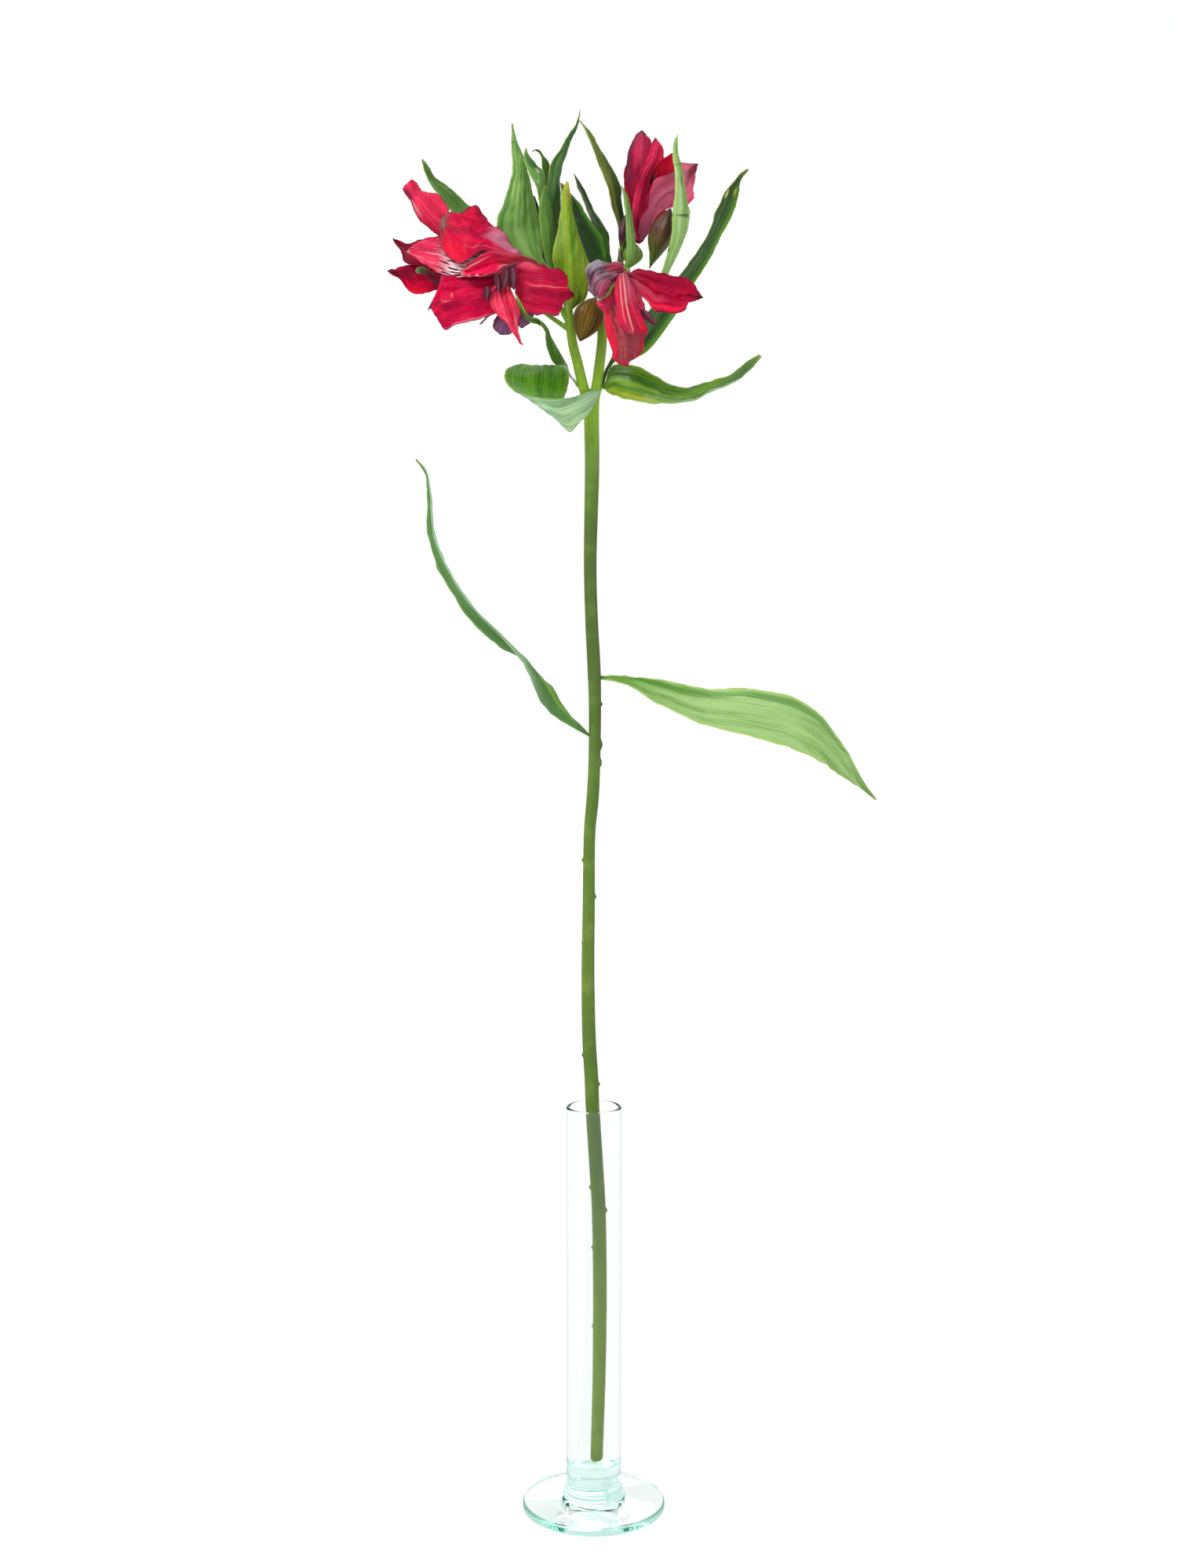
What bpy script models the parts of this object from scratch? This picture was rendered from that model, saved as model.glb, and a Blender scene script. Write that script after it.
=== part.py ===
"""One cut alstroemeria stem standing in a clear glass bud vase.

The origin is the middle of the vase's underside, +Z is up and +Y points away from the front view.
Lengths in the tables are millimetres. Leaves and tepals are drawn as pairs of edge points, base first:
the left edge and the right edge of the blade, seen in the way it grows.
"""
import math

import bmesh
import bpy
from mathutils import Vector

MM = 0.001

# Glass bud vase: a solid foot and base with a blind tube standing on them
VASE_HEIGHT = 173.5
FOOT_RADIUS = 30.0
FOOT_EDGE = 3.6
FOOT_TOP = [(22.0, 4.3), (16.5, 5.0), (13.4, 6.0)]
TUBE_RADIUS = 11.5
TUBE_WALL = 2.3
FLOOR_HEIGHT = 18.0
FLOOR_CORNER = [(0.0, 4.5), (0.7, 1.6), (2.0, 0.2), (4.0, 0.0)]
COLLAR_RADIUS = 12.2
COLLAR_FROM = 6.4
COLLAR_TO = 9.6
VASE_SIDES = 36

# Plant
BLADE_THICKNESS = 0.7
FILAMENT_RADIUS = 0.5
STEM_STEPS = 46
RAY_STEPS = 10
STALK_STEPS = 6
# How finely a tube is rounded: 3 gives ten sides, 2 gives eight and 1 gives six
STEM_ROUNDING = 3
RAY_ROUNDING = 2
STALK_ROUNDING = 1

for old_object in list(bpy.data.objects):
    bpy.data.objects.remove(old_object, do_unlink=True)


def material(name, colour, roughness, transmission=0.0):
    """A Principled material of one linear colour."""
    made = bpy.data.materials.new(name)
    made.use_nodes = True
    shader = made.node_tree.nodes["Principled BSDF"]
    shader.inputs["Base Color"].default_value = (*colour, 1.0)
    shader.inputs["Roughness"].default_value = roughness
    shader.inputs["Metallic"].default_value = 0.0
    shader.inputs["Transmission Weight"].default_value = transmission
    return made


GLASS = material("green tinted glass", (0.85, 0.95, 0.88), 0.03, 1.0)
STEM_GREEN = material("stem green", (0.16, 0.30, 0.06), 0.5)
LEAF_GREEN = material("leaf green", (0.10, 0.27, 0.04), 0.5)
LEAF_PALE = material("pale leaf underside", (0.27, 0.48, 0.13), 0.55)
LEAF_DARK = material("dark leaf", (0.03, 0.10, 0.02), 0.5)
TEPAL_RED = material("crimson tepal", (0.66, 0.01, 0.05), 0.55)
ANTHER_MAROON = material("maroon stamens", (0.07, 0.01, 0.03), 0.7)
OVARY_GREEN = material("green ovary", (0.15, 0.25, 0.05), 0.5)
BUD_BROWN = material("brown green bud", (0.14, 0.08, 0.03), 0.5)


def along(points, t):
    """The place at t, from 0 to 1, on a smooth curve through the points."""
    spans = len(points) - 1
    here = min(int(t * spans), spans - 1)
    f = t * spans - here
    p1, p2 = points[here], points[here + 1]
    p0 = points[here - 1] if here > 0 else p1 * 2 - p2
    p3 = points[here + 2] if here + 2 <= spans else p2 * 2 - p1
    return ((p1 * 2) + (p2 - p0) * f + (p0 * 2 - p1 * 5 + p2 * 4 - p3) * f * f
            + (p1 * 3 - p0 - p2 * 3 + p3) * f * f * f) * 0.5


def add_object(name, bm, look):
    """A scene object made from a bmesh whose lengths are millimetres."""
    bmesh.ops.scale(bm, vec=(MM, MM, MM), verts=bm.verts)
    mesh = bpy.data.meshes.new(name)
    bm.to_mesh(mesh)
    bm.free()
    mesh.materials.append(look)
    made = bpy.data.objects.new(name, mesh)
    bpy.context.scene.collection.objects.link(made)
    return made


def blade(name, rows, look, steps, across=4, dish=0.0, ruffle=0.0, waves=3.0):
    """A leaf or tepal: a sheet between its two edges, dished across and ruffled at the edges.

    u runs along the blade from its base and w across it. A dish over 0 bends the middle away
    from someone who sees the left edge on their left and the base below.
    """
    left = [Vector(row[0]) for row in rows]
    right = [Vector(row[1]) for row in rows]
    bm = bmesh.new()
    bmesh.ops.create_grid(bm, x_segments=steps, y_segments=across, size=1)
    bmesh.ops.triangulate(bm, faces=bm.faces, quad_method="ALTERNATE")
    for corner in bm.verts:
        u = (corner.co.x + 1) / 2
        w = (corner.co.y + 1) / 2
        a, b = along(left, u), along(right, u)
        ahead = (along(left, min(u + 0.02, 1)) + along(right, min(u + 0.02, 1))) / 2
        behind = (along(left, max(u - 0.02, 0)) + along(right, max(u - 0.02, 0))) / 2
        normal = (ahead - behind).cross(b - a).normalized()
        swell = math.sin(math.pi * u)
        lift = dish * swell * 4 * w * (1 - w)
        lift += ruffle * swell * (2 * w - 1) ** 2 * math.sin(math.tau * waves * u + 1.7 * round(w))
        corner.co = a.lerp(b, w) + normal * lift
    sheet = add_object(name, bm, look)
    wall = sheet.modifiers.new("thickness", "SOLIDIFY")
    wall.thickness = BLADE_THICKNESS * MM
    wall.offset = 0
    return sheet


def tube(name, points, radii, look, steps, rounding):
    """A round shoot along a smooth curve; radii are read along the same curve."""
    path = [Vector(point) for point in points]
    widths = [Vector((radius, 0, 0)) for radius in radii]
    curve = bpy.data.curves.new(name, "CURVE")
    curve.dimensions = "3D"
    curve.bevel_depth = MM
    curve.bevel_resolution = rounding
    curve.use_fill_caps = True
    line = curve.splines.new("POLY")
    line.points.add(steps)
    for number, point in enumerate(line.points):
        t = number / steps
        point.co = (*(along(path, t) * MM), 1)
        point.radius = along(widths, t).x
    made = bpy.data.objects.new(name, curve)
    bpy.context.scene.collection.objects.link(made)
    made = as_mesh(made, look)
    bm = bmesh.new()
    bm.from_mesh(made.data)
    bmesh.ops.remove_doubles(bm, verts=bm.verts, dist=0.00001)
    bm.to_mesh(made.data)
    bm.free()
    return made


def as_mesh(source, look):
    """Replace an object by its evaluated mesh."""
    graph = bpy.context.evaluated_depsgraph_get()
    mesh = bpy.data.meshes.new_from_object(source.evaluated_get(graph))
    name = source.name
    bpy.data.objects.remove(source, do_unlink=True)
    mesh.materials.clear()
    mesh.materials.append(look)
    made = bpy.data.objects.new(name, mesh)
    made.data.name = name
    bpy.context.scene.collection.objects.link(made)
    return made


def pod(name, base, tip, radius, look, sides=10, rings=7, ridges=3, ridge=0.10, fullest=0.45, point=1.0):
    """A bud, ovary, anther or nub: round about the line from base to tip, with low ridges.

    fullest is where along the line it is widest, and point under 1 draws the tip out.
    """
    base, tip = Vector(base), Vector(tip)
    axis = (tip - base).normalized()
    side = axis.orthogonal().normalized()
    other = axis.cross(side)
    bm = bmesh.new()
    bmesh.ops.create_uvsphere(bm, u_segments=sides, v_segments=rings, radius=1)
    for corner in bm.verts:
        t = (corner.co.z + 1) / 2
        angle = math.atan2(corner.co.y, corner.co.x)
        bulge = t ** (math.log(0.5) / math.log(fullest))
        width = math.sin(math.pi * bulge) ** point if 0 < bulge < 1 else 0.0
        width *= radius * (1 + ridge * math.cos(ridges * angle))
        corner.co = base.lerp(tip, t) + (side * math.cos(angle) + other * math.sin(angle)) * width
    return add_object(name, bm, look)


def fill_pockets(body):
    """Drop every small shell shut inside the joined body, so that it is solid right through."""
    bm = bmesh.new()
    bm.from_mesh(body.data)
    shells = []
    left = set(bm.verts)
    while left:
        shell = {left.pop()}
        edge_of = list(shell)
        while edge_of:
            near = {edge.other_vert(corner) for corner in edge_of for edge in corner.link_edges} - shell
            shell |= near
            edge_of = list(near)
        left -= shell
        shells.append(shell)
    shells.sort(key=len)
    for shell in shells[:-1]:
        bmesh.ops.delete(bm, geom=list(shell), context="VERTS")
    bm.to_mesh(body.data)
    bm.free()


def fuse(name, pieces, look, solver="EXACT"):
    """Join overlapping pieces into one closed body."""
    first = pieces[0]
    group = bpy.data.collections.new(name + " pieces")
    bpy.context.scene.collection.children.link(group)
    for piece in pieces[1:]:
        group.objects.link(piece)
    union = first.modifiers.new("union", "BOOLEAN")
    union.operation = "UNION"
    union.operand_type = "COLLECTION"
    union.collection = group
    union.solver = solver
    first.name = name
    bpy.context.view_layer.update()
    joined = as_mesh(first, look)
    joined.name = name
    for piece in pieces[1:]:
        bpy.data.objects.remove(piece, do_unlink=True)
    bpy.data.collections.remove(group)
    fill_pockets(joined)
    return joined


def glass_vase():
    """A tall tube on a thick base and a round foot, turned from one profile."""
    inner = TUBE_RADIUS - TUBE_WALL
    lip = TUBE_WALL / 2
    profile = [(FOOT_RADIUS - 1.0, 0.0), (FOOT_RADIUS, 0.9), (FOOT_RADIUS, FOOT_EDGE - 1.0),
               (FOOT_RADIUS - 1.2, FOOT_EDGE)] + FOOT_TOP
    profile += [(COLLAR_RADIUS, COLLAR_FROM + 0.6), (COLLAR_RADIUS, COLLAR_TO - 0.8),
                (TUBE_RADIUS, COLLAR_TO), (TUBE_RADIUS, VASE_HEIGHT - lip)]
    for step in range(1, 5):
        turn = math.pi * step / 5
        profile.append((TUBE_RADIUS - lip + lip * math.cos(turn), VASE_HEIGHT - lip + lip * math.sin(turn)))
    profile.append((inner, VASE_HEIGHT - lip))
    profile += [(inner - inset, FLOOR_HEIGHT + rise) for inset, rise in FLOOR_CORNER]
    bm = bmesh.new()
    corners = [bm.verts.new((x, 0, z)) for x, z in profile]
    line = [bm.edges.new(pair) for pair in zip(corners, corners[1:])]
    bmesh.ops.spin(bm, geom=corners + line, axis=(0, 0, 1), cent=(0, 0, 0), angle=math.tau,
                   steps=VASE_SIDES, use_merge=True)
    bmesh.ops.remove_doubles(bm, verts=bm.verts, dist=0.001)
    bmesh.ops.holes_fill(bm, edges=bm.edges, sides=VASE_SIDES)
    bmesh.ops.recalc_face_normals(bm, faces=bm.faces)
    vase = add_object("glass_vase", bm, GLASS)
    vase.data.shade_smooth()
    vase.data.set_sharp_from_angle(angle=math.radians(35))
    return vase


LEAF_MID_LEFT = [
    ((-3, -13, 329.5), (-3, -12, 331)),
    ((-8, -16, 332.5), (-7.5, -13, 335.5)),
    ((-16.5, -20, 338.5), (-13, -14, 342.5)),
    ((-22, -24, 345.5), (-16.5, -15, 349)),
    ((-25, -26, 354), (-22.5, -16, 354)),
    ((-29, -27, 361), (-29, -16, 361)),
    ((-36.5, -27, 370), (-38.5, -17, 366)),
    ((-48.5, -26, 382.5), (-51.5, -17, 379)),
    ((-57.5, -24, 396), (-61.5, -15, 395.5)),
    ((-62.5, -22, 407.5), (-66, -14, 409)),
    ((-64.5, -20, 422.5), (-66.5, -14, 423)),
    ((-66, -18, 434), (-67, -15, 433.5)),
    ((-70.5, -15, 440), (-71, -14.5, 439.5)),
]
LEAF_MID_RIGHT = [
    ((3.4, -13, 353.5), (3.4, -14, 352)),
    ((13.5, -13, 353.5), (13.5, -18, 350)),
    ((26, -13, 352), (25.5, -23, 343)),
    ((44.5, -13, 348.5), (42.5, -26, 335.5)),
    ((62.5, -14, 348.5), (60, -28, 331)),
    ((78.5, -15, 345.5), (75.5, -28, 326.5)),
    ((90.5, -16, 338.5), (88.5, -26, 321)),
    ((100, -17, 326), (98, -23, 314.5)),
    ((108, -18, 312), (107, -19, 308.5)),
    ((113.5, -17, 304.5), (113.5, -17, 303.5)),
]
LEAF_WHORL_RIGHT = [
    ((3.8, -17.6, 469), (3.8, -19.4, 467)),
    ((7, -17, 476), (6.2, -23, 465)),
    ((14, -18, 476.5), (13.5, -30, 462)),
    ((22, -20, 473.5), (22, -34, 460.5)),
    ((30, -22, 469), (29.5, -35, 460.5)),
    ((37, -23, 467.5), (37.5, -34, 462)),
    ((45, -23, 469.5), (46, -32, 466)),
    ((53.5, -22, 472.5), (54.5, -29, 469.5)),
    ((60, -20, 477.5), (61.5, -25, 474.5)),
    ((65, -18, 480.5), (66, -19, 479.5)),
]
LEAF_WHORL_LOOP = [
    ((1.9, -20.7, 466.2), (1.9, -20.9, 464.4)),
    ((-1.5, -23.4, 466), (-1.5, -24.5, 457.5)),
    ((-9, -26, 463), (-6, -29, 453)),
    ((-16.5, -28, 462.5), (-9.5, -31, 449.5)),
    ((-24, -27, 463.5), (-14, -30, 454)),
    ((-30.5, -23, 465.5), (-14, -23, 458.5)),
    ((-34.5, -18, 469.5), (-11.5, -15, 465)),
    ((-35.5, -14, 473), (-10, -10, 471)),
    ((-34, -9, 476), (-10.5, -5, 476)),
    ((-29.5, -5, 477.5), (-12.5, -1, 477.5)),
    ((-24, -2, 475.5), (-15, 1, 475)),
    ((-20, -1, 471), (-18.5, 0, 471)),
]
LEAF_WHORL_TWIST = [
    ((-3.2, -15.4, 465.5), (-5, -15.8, 466.5)),
    ((-6, -9, 468.5), (-8, -10, 470.5)),
    ((-9, 1, 473), (-12, 0, 475.5)),
    ((-11.5, 7, 479.5), (-17, 4, 480)),
    ((-15, 5, 485.5), (-19, -1, 485.5)),
    ((-18.5, -6, 490), (-20, -14, 490.5)),
    ((-22, -18, 492), (-22, -26, 493.5)),
    ((-24.5, -31, 491.5), (-24, -39, 492.5)),
    ((-26.6, -45, 491.8), (-25.6, -50, 493)),
    ((-28.4, -50.8, 495.3), (-27.5, -52.2, 496.3)),
    ((-30, -52, 500), (-29.8, -52, 500.5)),
]
LEAF_WHORL_TALL = [
    ((1.4, -14.8, 467), (3.2, -15.4, 467.5)),
    ((6, -10, 478.5), (8, -9, 478)),
    ((12, -3, 486), (20.5, -1, 482.5)),
    ((20.5, 5, 498), (32, 8, 497)),
    ((30.5, 12, 509.5), (40, 15, 510.5)),
    ((39, 16, 520.5), (47, 20, 521.5)),
    ((46, 18, 531), (52, 23, 531.5)),
    ((50, 19, 542), (57.5, 24, 542.5)),
    ((54.5, 19, 550.5), (59.5, 23, 551)),
    ((58.5, 18, 555), (60.5, 20, 554.5)),
    ((62, 18, 558), (63, 18, 557.5)),
]
LEAF_BROAD_PALE = [
    ((-17.6, -14, 512.2), (-15.8, -14.3, 512.2)),
    ((-29, -14.5, 518.5), (-20, -13, 518)),
    ((-37.5, -14, 527), (-20.5, -10, 527.5)),
    ((-38, -15, 533), (-21.5, -9, 533.5)),
    ((-35.5, -14, 539.5), (-23.5, -9, 541)),
    ((-33.5, -12, 546), (-25, -8, 547.5)),
    ((-32, -11, 553.5), (-27, -7, 555.5)),
    ((-32.5, -9, 561), (-29.5, -7, 562)),
    ((-32.5, -8, 566.5), (-31.5, -7, 567)),
    ((-32.5, -8, 571), (-32, -8, 571)),
]
LEAF_FRONT_YELLOW = [
    ((-9.8, -21.5, 498), (-8, -21.4, 498)),
    ((-12.5, -24, 505), (-3.4, -23.5, 501.5)),
    ((-15.5, -26, 513.5), (-1.5, -25, 508)),
    ((-16, -27, 518.5), (-2, -25, 514.5)),
    ((-14, -26, 527.5), (-5, -23.5, 523)),
    ((-13, -24, 535), (-7.5, -22, 532)),
    ((-12.5, -21, 542), (-9, -20, 540.5)),
    ((-11, -18, 547), (-10, -18, 547)),
]
LEAF_TALL_DARK = [
    ((-15.2, -12.6, 514), (-13.6, -12.4, 514)),
    ((-17, -10.5, 522), (-13.5, -6.5, 522.5)),
    ((-18, -11.5, 532), (-13, -4, 533)),
    ((-18.5, -11.5, 542.5), (-13, -4, 543)),
    ((-18, -11.5, 550), (-13.5, -4, 549)),
    ((-16.5, -11, 555.5), (-12.5, -3, 555.5)),
    ((-13.5, -8, 561), (-11, -1, 561.5)),
    ((-10.5, -4, 567), (-8.5, 1, 568)),
    ((-7.5, -1, 571.5), (-6.5, 2, 572.5)),
    ((-5.5, 2, 578), (-5.5, 2, 578.5)),
]
LEAF_HOOK = [
    ((-14.6, -12.2, 511.5), (-13.2, -12.1, 511.5)),
    ((-18, -4, 519), (-15, -1.5, 519)),
    ((-19.5, -1, 529), (-16, 3, 529)),
    ((-19.5, -1, 538), (-16.5, 4, 539)),
    ((-20.5, 0, 547), (-17, 4, 548)),
    ((-20.5, 0, 556), (-18, 4, 557)),
    ((-21.5, 1, 560.5), (-20, 3, 560.5)),
    ((-23.5, 0, 562), (-22, 1, 562.5)),
    ((-24.5, -3, 561), (-24.5, -3, 561.5)),
]
LEAF_CURL = [
    ((-16.8, -15.6, 512.5), (-16.3, -15, 513.5)),
    ((-19.5, -16.5, 518), (-17.5, -15.8, 518.5)),
    ((-20.5, -17, 526), (-18.5, -16, 526.5)),
    ((-21, -18, 535.5), (-19, -16, 536.5)),
    ((-22.5, -18, 544.5), (-19, -15, 546)),
    ((-24.5, -18, 548.5), (-19.5, -14, 551.5)),
    ((-26.5, -17, 553.5), (-23, -14, 554.5)),
    ((-27.5, -15, 557), (-25.5, -14, 557.5)),
    ((-27, -14, 560.5), (-26.5, -14, 560.5)),
]
LEAF_SLIM_MID = [
    ((-15.8, -17.4, 511.5), (-14.6, -17.6, 512)),
    ((-18, -19.8, 516), (-15.3, -19.2, 516)),
    ((-20, -21.8, 523), (-15.5, -20, 523)),
    ((-21, -22.5, 530), (-15.5, -20, 529.5)),
    ((-21.5, -22, 537), (-17, -20, 537)),
    ((-20.5, -21, 541.5), (-18, -20, 542)),
    ((-19.5, -20, 545), (-19, -20, 545)),
]
LEAF_SLIM_DARK = [
    ((-16.6, -12.9, 512.5), (-15.8, -12.5, 513.5)),
    ((-20, -8, 517.5), (-18, -7.6, 518.5)),
    ((-21.5, -6.2, 524), (-19, -5.6, 525)),
    ((-22, -6, 531), (-20, -5, 531.5)),
    ((-23.5, -6, 538), (-21.5, -5, 538)),
    ((-24, -5, 543.5), (-23.5, -5, 543.5)),
]
LEAF_DARK_BROAD = [
    ((5.9, -12.8, 511.4), (6.4, -11.4, 512.2)),
    ((0, -14, 514.5), (4.5, -10, 514.5)),
    ((-3.5, -15, 518.5), (5, -8, 519)),
    ((-7.5, -16, 525), (3.5, -6, 526.5)),
    ((-10, -16, 532.5), (-0.5, -6, 532.5)),
    ((-12, -14, 539.5), (-5.5, -6, 540.5)),
    ((-13, -11, 544.5), (-9.5, -7, 544.5)),
    ((-13.5, -9, 548), (-12.5, -8, 548)),
]
LEAF_DARK_SLIM = [
    ((7.4, -10.2, 512.6), (8.2, -9.9, 513)),
    ((4.2, -5, 517), (7.3, -2, 517.5)),
    ((1, -3.5, 523), (6.4, 2.5, 523.5)),
    ((0, -4, 530), (6, 4, 530)),
    ((-2, -4, 536.5), (2, 3, 536)),
    ((-4.5, -2, 543), (-1.5, 3, 542.5)),
    ((-6.5, 0, 548), (-4.5, 3, 548.5)),
    ((-8, 2, 553), (-8, 2, 553.5)),
]
LEAF_TALL_ARCH = [
    ((8.6, -8.2, 513.2), (9.6, -7.6, 513.4)),
    ((9.5, -2, 518.5), (12, 0.5, 519)),
    ((10.5, 3, 526), (13, 7.5, 526.5)),
    ((9.5, 1.5, 533), (12.5, 8, 534)),
    ((7, -2, 540), (11.5, 7, 542.5)),
    ((5.5, -3, 547.5), (10.5, 6, 550)),
    ((2.5, -4, 555), (6.5, 4, 557)),
    ((-0.5, -5, 562.5), (2, 2, 564)),
    ((-3.5, -6, 569), (-2, -2, 569.5)),
    ((-6, -6, 572.5), (-5.5, -6, 572.5)),
]
LEAF_SMALL_FRONT = [
    ((10.2, -14.2, 512.8), (11.2, -14.3, 512.6)),
    ((12.6, -16.6, 517), (15.2, -15.4, 517)),
    ((12.8, -17.5, 522), (16.5, -16, 522)),
    ((12.5, -18, 529), (15.5, -16, 529)),
    ((12, -17, 537), (14.5, -16, 537)),
    ((11.5, -16, 542), (13, -16, 542)),
    ((10.5, -16, 545.5), (11, -16, 545.5)),
]
LEAF_PALE_RIGHT = [
    ((20.6, -13.4, 510.4), (21.6, -13.6, 509.2)),
    ((24.5, -21.5, 509.5), (27, -20.5, 508)),
    ((26.8, -24.5, 513.5), (30, -22, 513.5)),
    ((29, -26, 520), (33.5, -21.5, 521)),
    ((30, -27, 527), (36.5, -21.5, 528)),
    ((30.5, -27, 535), (37, -21.5, 535.5)),
    ((31.5, -26, 543.5), (35, -21, 544.5)),
    ((31, -24, 551), (34, -21, 552)),
    ((30.5, -22, 557.5), (32.5, -21, 557.5)),
    ((31, -20, 561.5), (32.5, -20, 561.5)),
    ((32.5, -19, 564.5), (32.5, -19, 565)),
]
LEAF_FAR_LEFT = [
    ((-15.9, -12.4, 508.8), (-15, -12, 510)),
    ((-20.5, -6.5, 513), (-18.5, -4, 515)),
    ((-29, -4, 517), (-26, 0, 521)),
    ((-43, -1, 527), (-39.5, 5, 532.5)),
    ((-54.5, 0, 536), (-50, 7, 541.5)),
    ((-61.5, 0, 544), (-57.5, 7, 548.5)),
    ((-66, 1, 550), (-63, 6, 552)),
    ((-68, 2, 555), (-66, 4, 556)),
    ((-69, 3, 559), (-68.5, 3, 559.5)),
]
BLOOM_FRONT = {
    "top": [
        ((-20, -27, 513.5), (-18.5, -26, 514.5)),
        ((-28, -32, 514.5), (-26, -28, 517.5)),
        ((-35, -35, 515), (-32, -29, 522)),
        ((-46, -37, 513.5), (-37.5, -30, 528)),
        ((-54.5, -36, 517), (-43, -30, 533.5)),
        ((-59, -34, 523.5), (-47.5, -29, 536)),
        ((-59.5, -32, 529), (-52, -29, 534)),
    ],
    "stripe_left": [
        ((-20, -27, 512.5), (-19, -26, 513.5)),
        ((-29.5, -31, 511), (-28.5, -28, 514.5)),
        ((-36.5, -33, 509), (-35.5, -30, 516)),
        ((-45, -34, 508), (-44, -30, 520)),
        ((-53.5, -33, 508.5), (-52, -29, 524)),
        ((-61, -31, 509.5), (-60, -28, 525)),
        ((-67, -29, 513), (-65.5, -27, 524)),
        ((-71, -27, 517), (-69, -26, 521)),
        ((-73, -26, 518.5), (-72.5, -26, 519.5)),
    ],
    "stripe_fold": [
        ((-20, -29, 512), (-19, -28, 513.5)),
        ((-28, -36, 512.5), (-27, -34, 517)),
        ((-36.5, -40, 510), (-35.5, -38, 517.5)),
        ((-43.5, -41, 508), (-42.5, -40, 517)),
        ((-50, -40, 508), (-48, -40, 513.5)),
        ((-52, -39, 509.5), (-51.5, -39, 510.5)),
    ],
    "low_left": [
        ((-19.5, -28, 511.5), (-20, -28, 510.5)),
        ((-30.5, -34, 509.5), (-31.5, -33, 504.5)),
        ((-37, -37, 509.5), (-37, -36, 498.5)),
        ((-45, -39, 508.5), (-41.5, -38, 493.5)),
        ((-52.5, -40, 508), (-48.5, -38, 491)),
        ((-58.5, -38, 507.5), (-55, -37, 489)),
        ((-61, -35, 501), (-58.5, -35, 489.5)),
        ((-63.5, -33, 496.5), (-61.5, -33, 493)),
    ],
    "right": [
        ((-20, -29, 512.5), (-19.5, -29, 511)),
        ((-25, -35, 512), (-24, -35, 506.5)),
        ((-29, -41, 511), (-28, -42, 499.5)),
        ((-27, -45, 512), (-26, -47, 493.5)),
        ((-20, -46, 511.5), (-19, -48, 492.5)),
        ((-13.5, -44, 510), (-13.5, -46, 494)),
        ((-10, -42, 506), (-10, -43, 497)),
        ((-8, -40, 501.5), (-8, -40, 500)),
    ],
    "low_inner": [
        ((-20, -29, 511), (-20.5, -29, 509.5)),
        ((-33.5, -37, 506.5), (-30, -38, 505.5)),
        ((-39.5, -43, 500.5), (-30.5, -44, 501)),
        ((-38.5, -46, 494.5), (-28.5, -47, 495.5)),
        ((-36, -47, 490.5), (-28, -47, 491)),
        ((-32, -46, 486.5), (-29, -46, 487)),
        ((-30, -45, 483.5), (-29, -45, 483.5)),
        ((-27.5, -44, 481.5), (-27, -44, 482)),
    ],
}
BLOOM_RIGHT = {
    "shrivelled": [
        ((12, -27, 510), (12.5, -28, 508.5)),
        ((9.5, -31, 513.5), (10, -33, 508.5)),
        ((5.5, -35, 515), (6.5, -37, 506.5)),
        ((1.5, -38, 514), (4.5, -40, 503.5)),
        ((-2, -38, 511), (4, -40, 501)),
        ((-3, -37, 507), (2.5, -39, 499.5)),
        ((-1, -36, 504), (1.5, -37, 499)),
    ],
    "stripe_front": [
        ((11.5, -29, 509), (12.5, -29, 509)),
        ((8.5, -37, 509), (12.5, -37, 508)),
        ((6.5, -42, 502.5), (15, -41, 503)),
        ((5.5, -44, 497), (16.5, -43, 497)),
        ((6, -44, 492.5), (17.5, -43, 492.5)),
        ((8.5, -43, 489), (16.5, -42, 488.5)),
        ((12, -41, 486.5), (13.5, -41, 486.5)),
    ],
    "low": [
        ((11.5, -28, 508), (12.5, -28, 508)),
        ((6, -34, 501), (14.5, -34, 502)),
        ((4, -38, 494.5), (18.5, -37, 495.5)),
        ((4.5, -39, 488.5), (20.5, -37, 488.5)),
        ((6, -38, 482), (19, -36, 483)),
        ((8.5, -36, 477), (17, -34, 478)),
        ((12, -34, 475), (13.5, -34, 475)),
    ],
    "right": [
        ((12, -28, 510), (12.5, -28, 508)),
        ((14.5, -33, 510.5), (15.5, -34, 504)),
        ((20.5, -36, 511), (21.5, -39, 498)),
        ((27.5, -37, 510), (27, -41, 495)),
        ((33.5, -37, 508.5), (32.5, -41, 494)),
        ((38, -36, 505.5), (37, -38, 497.5)),
        ((41.5, -34, 501.5), (42, -34, 500)),
    ],
    "left_edge": [
        ((11.5, -27, 508.5), (12, -27, 507.5)),
        ((7, -32, 505.5), (9.5, -31.5, 502)),
        ((3.5, -35.5, 502), (6.5, -34, 497)),
        ((1, -37, 498), (4, -36, 494.5)),
        ((1, -37, 496), (2.5, -36, 495)),
    ],
    "back": [
        ((12, -25, 509.5), (13.5, -24, 509.5)),
        ((12, -22, 504), (17.5, -21, 505)),
        ((12.5, -20, 498.5), (20, -18, 499)),
        ((13, -18, 492), (20, -17, 492.5)),
        ((14.5, -18, 485), (17, -18, 485)),
    ],
}
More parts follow.
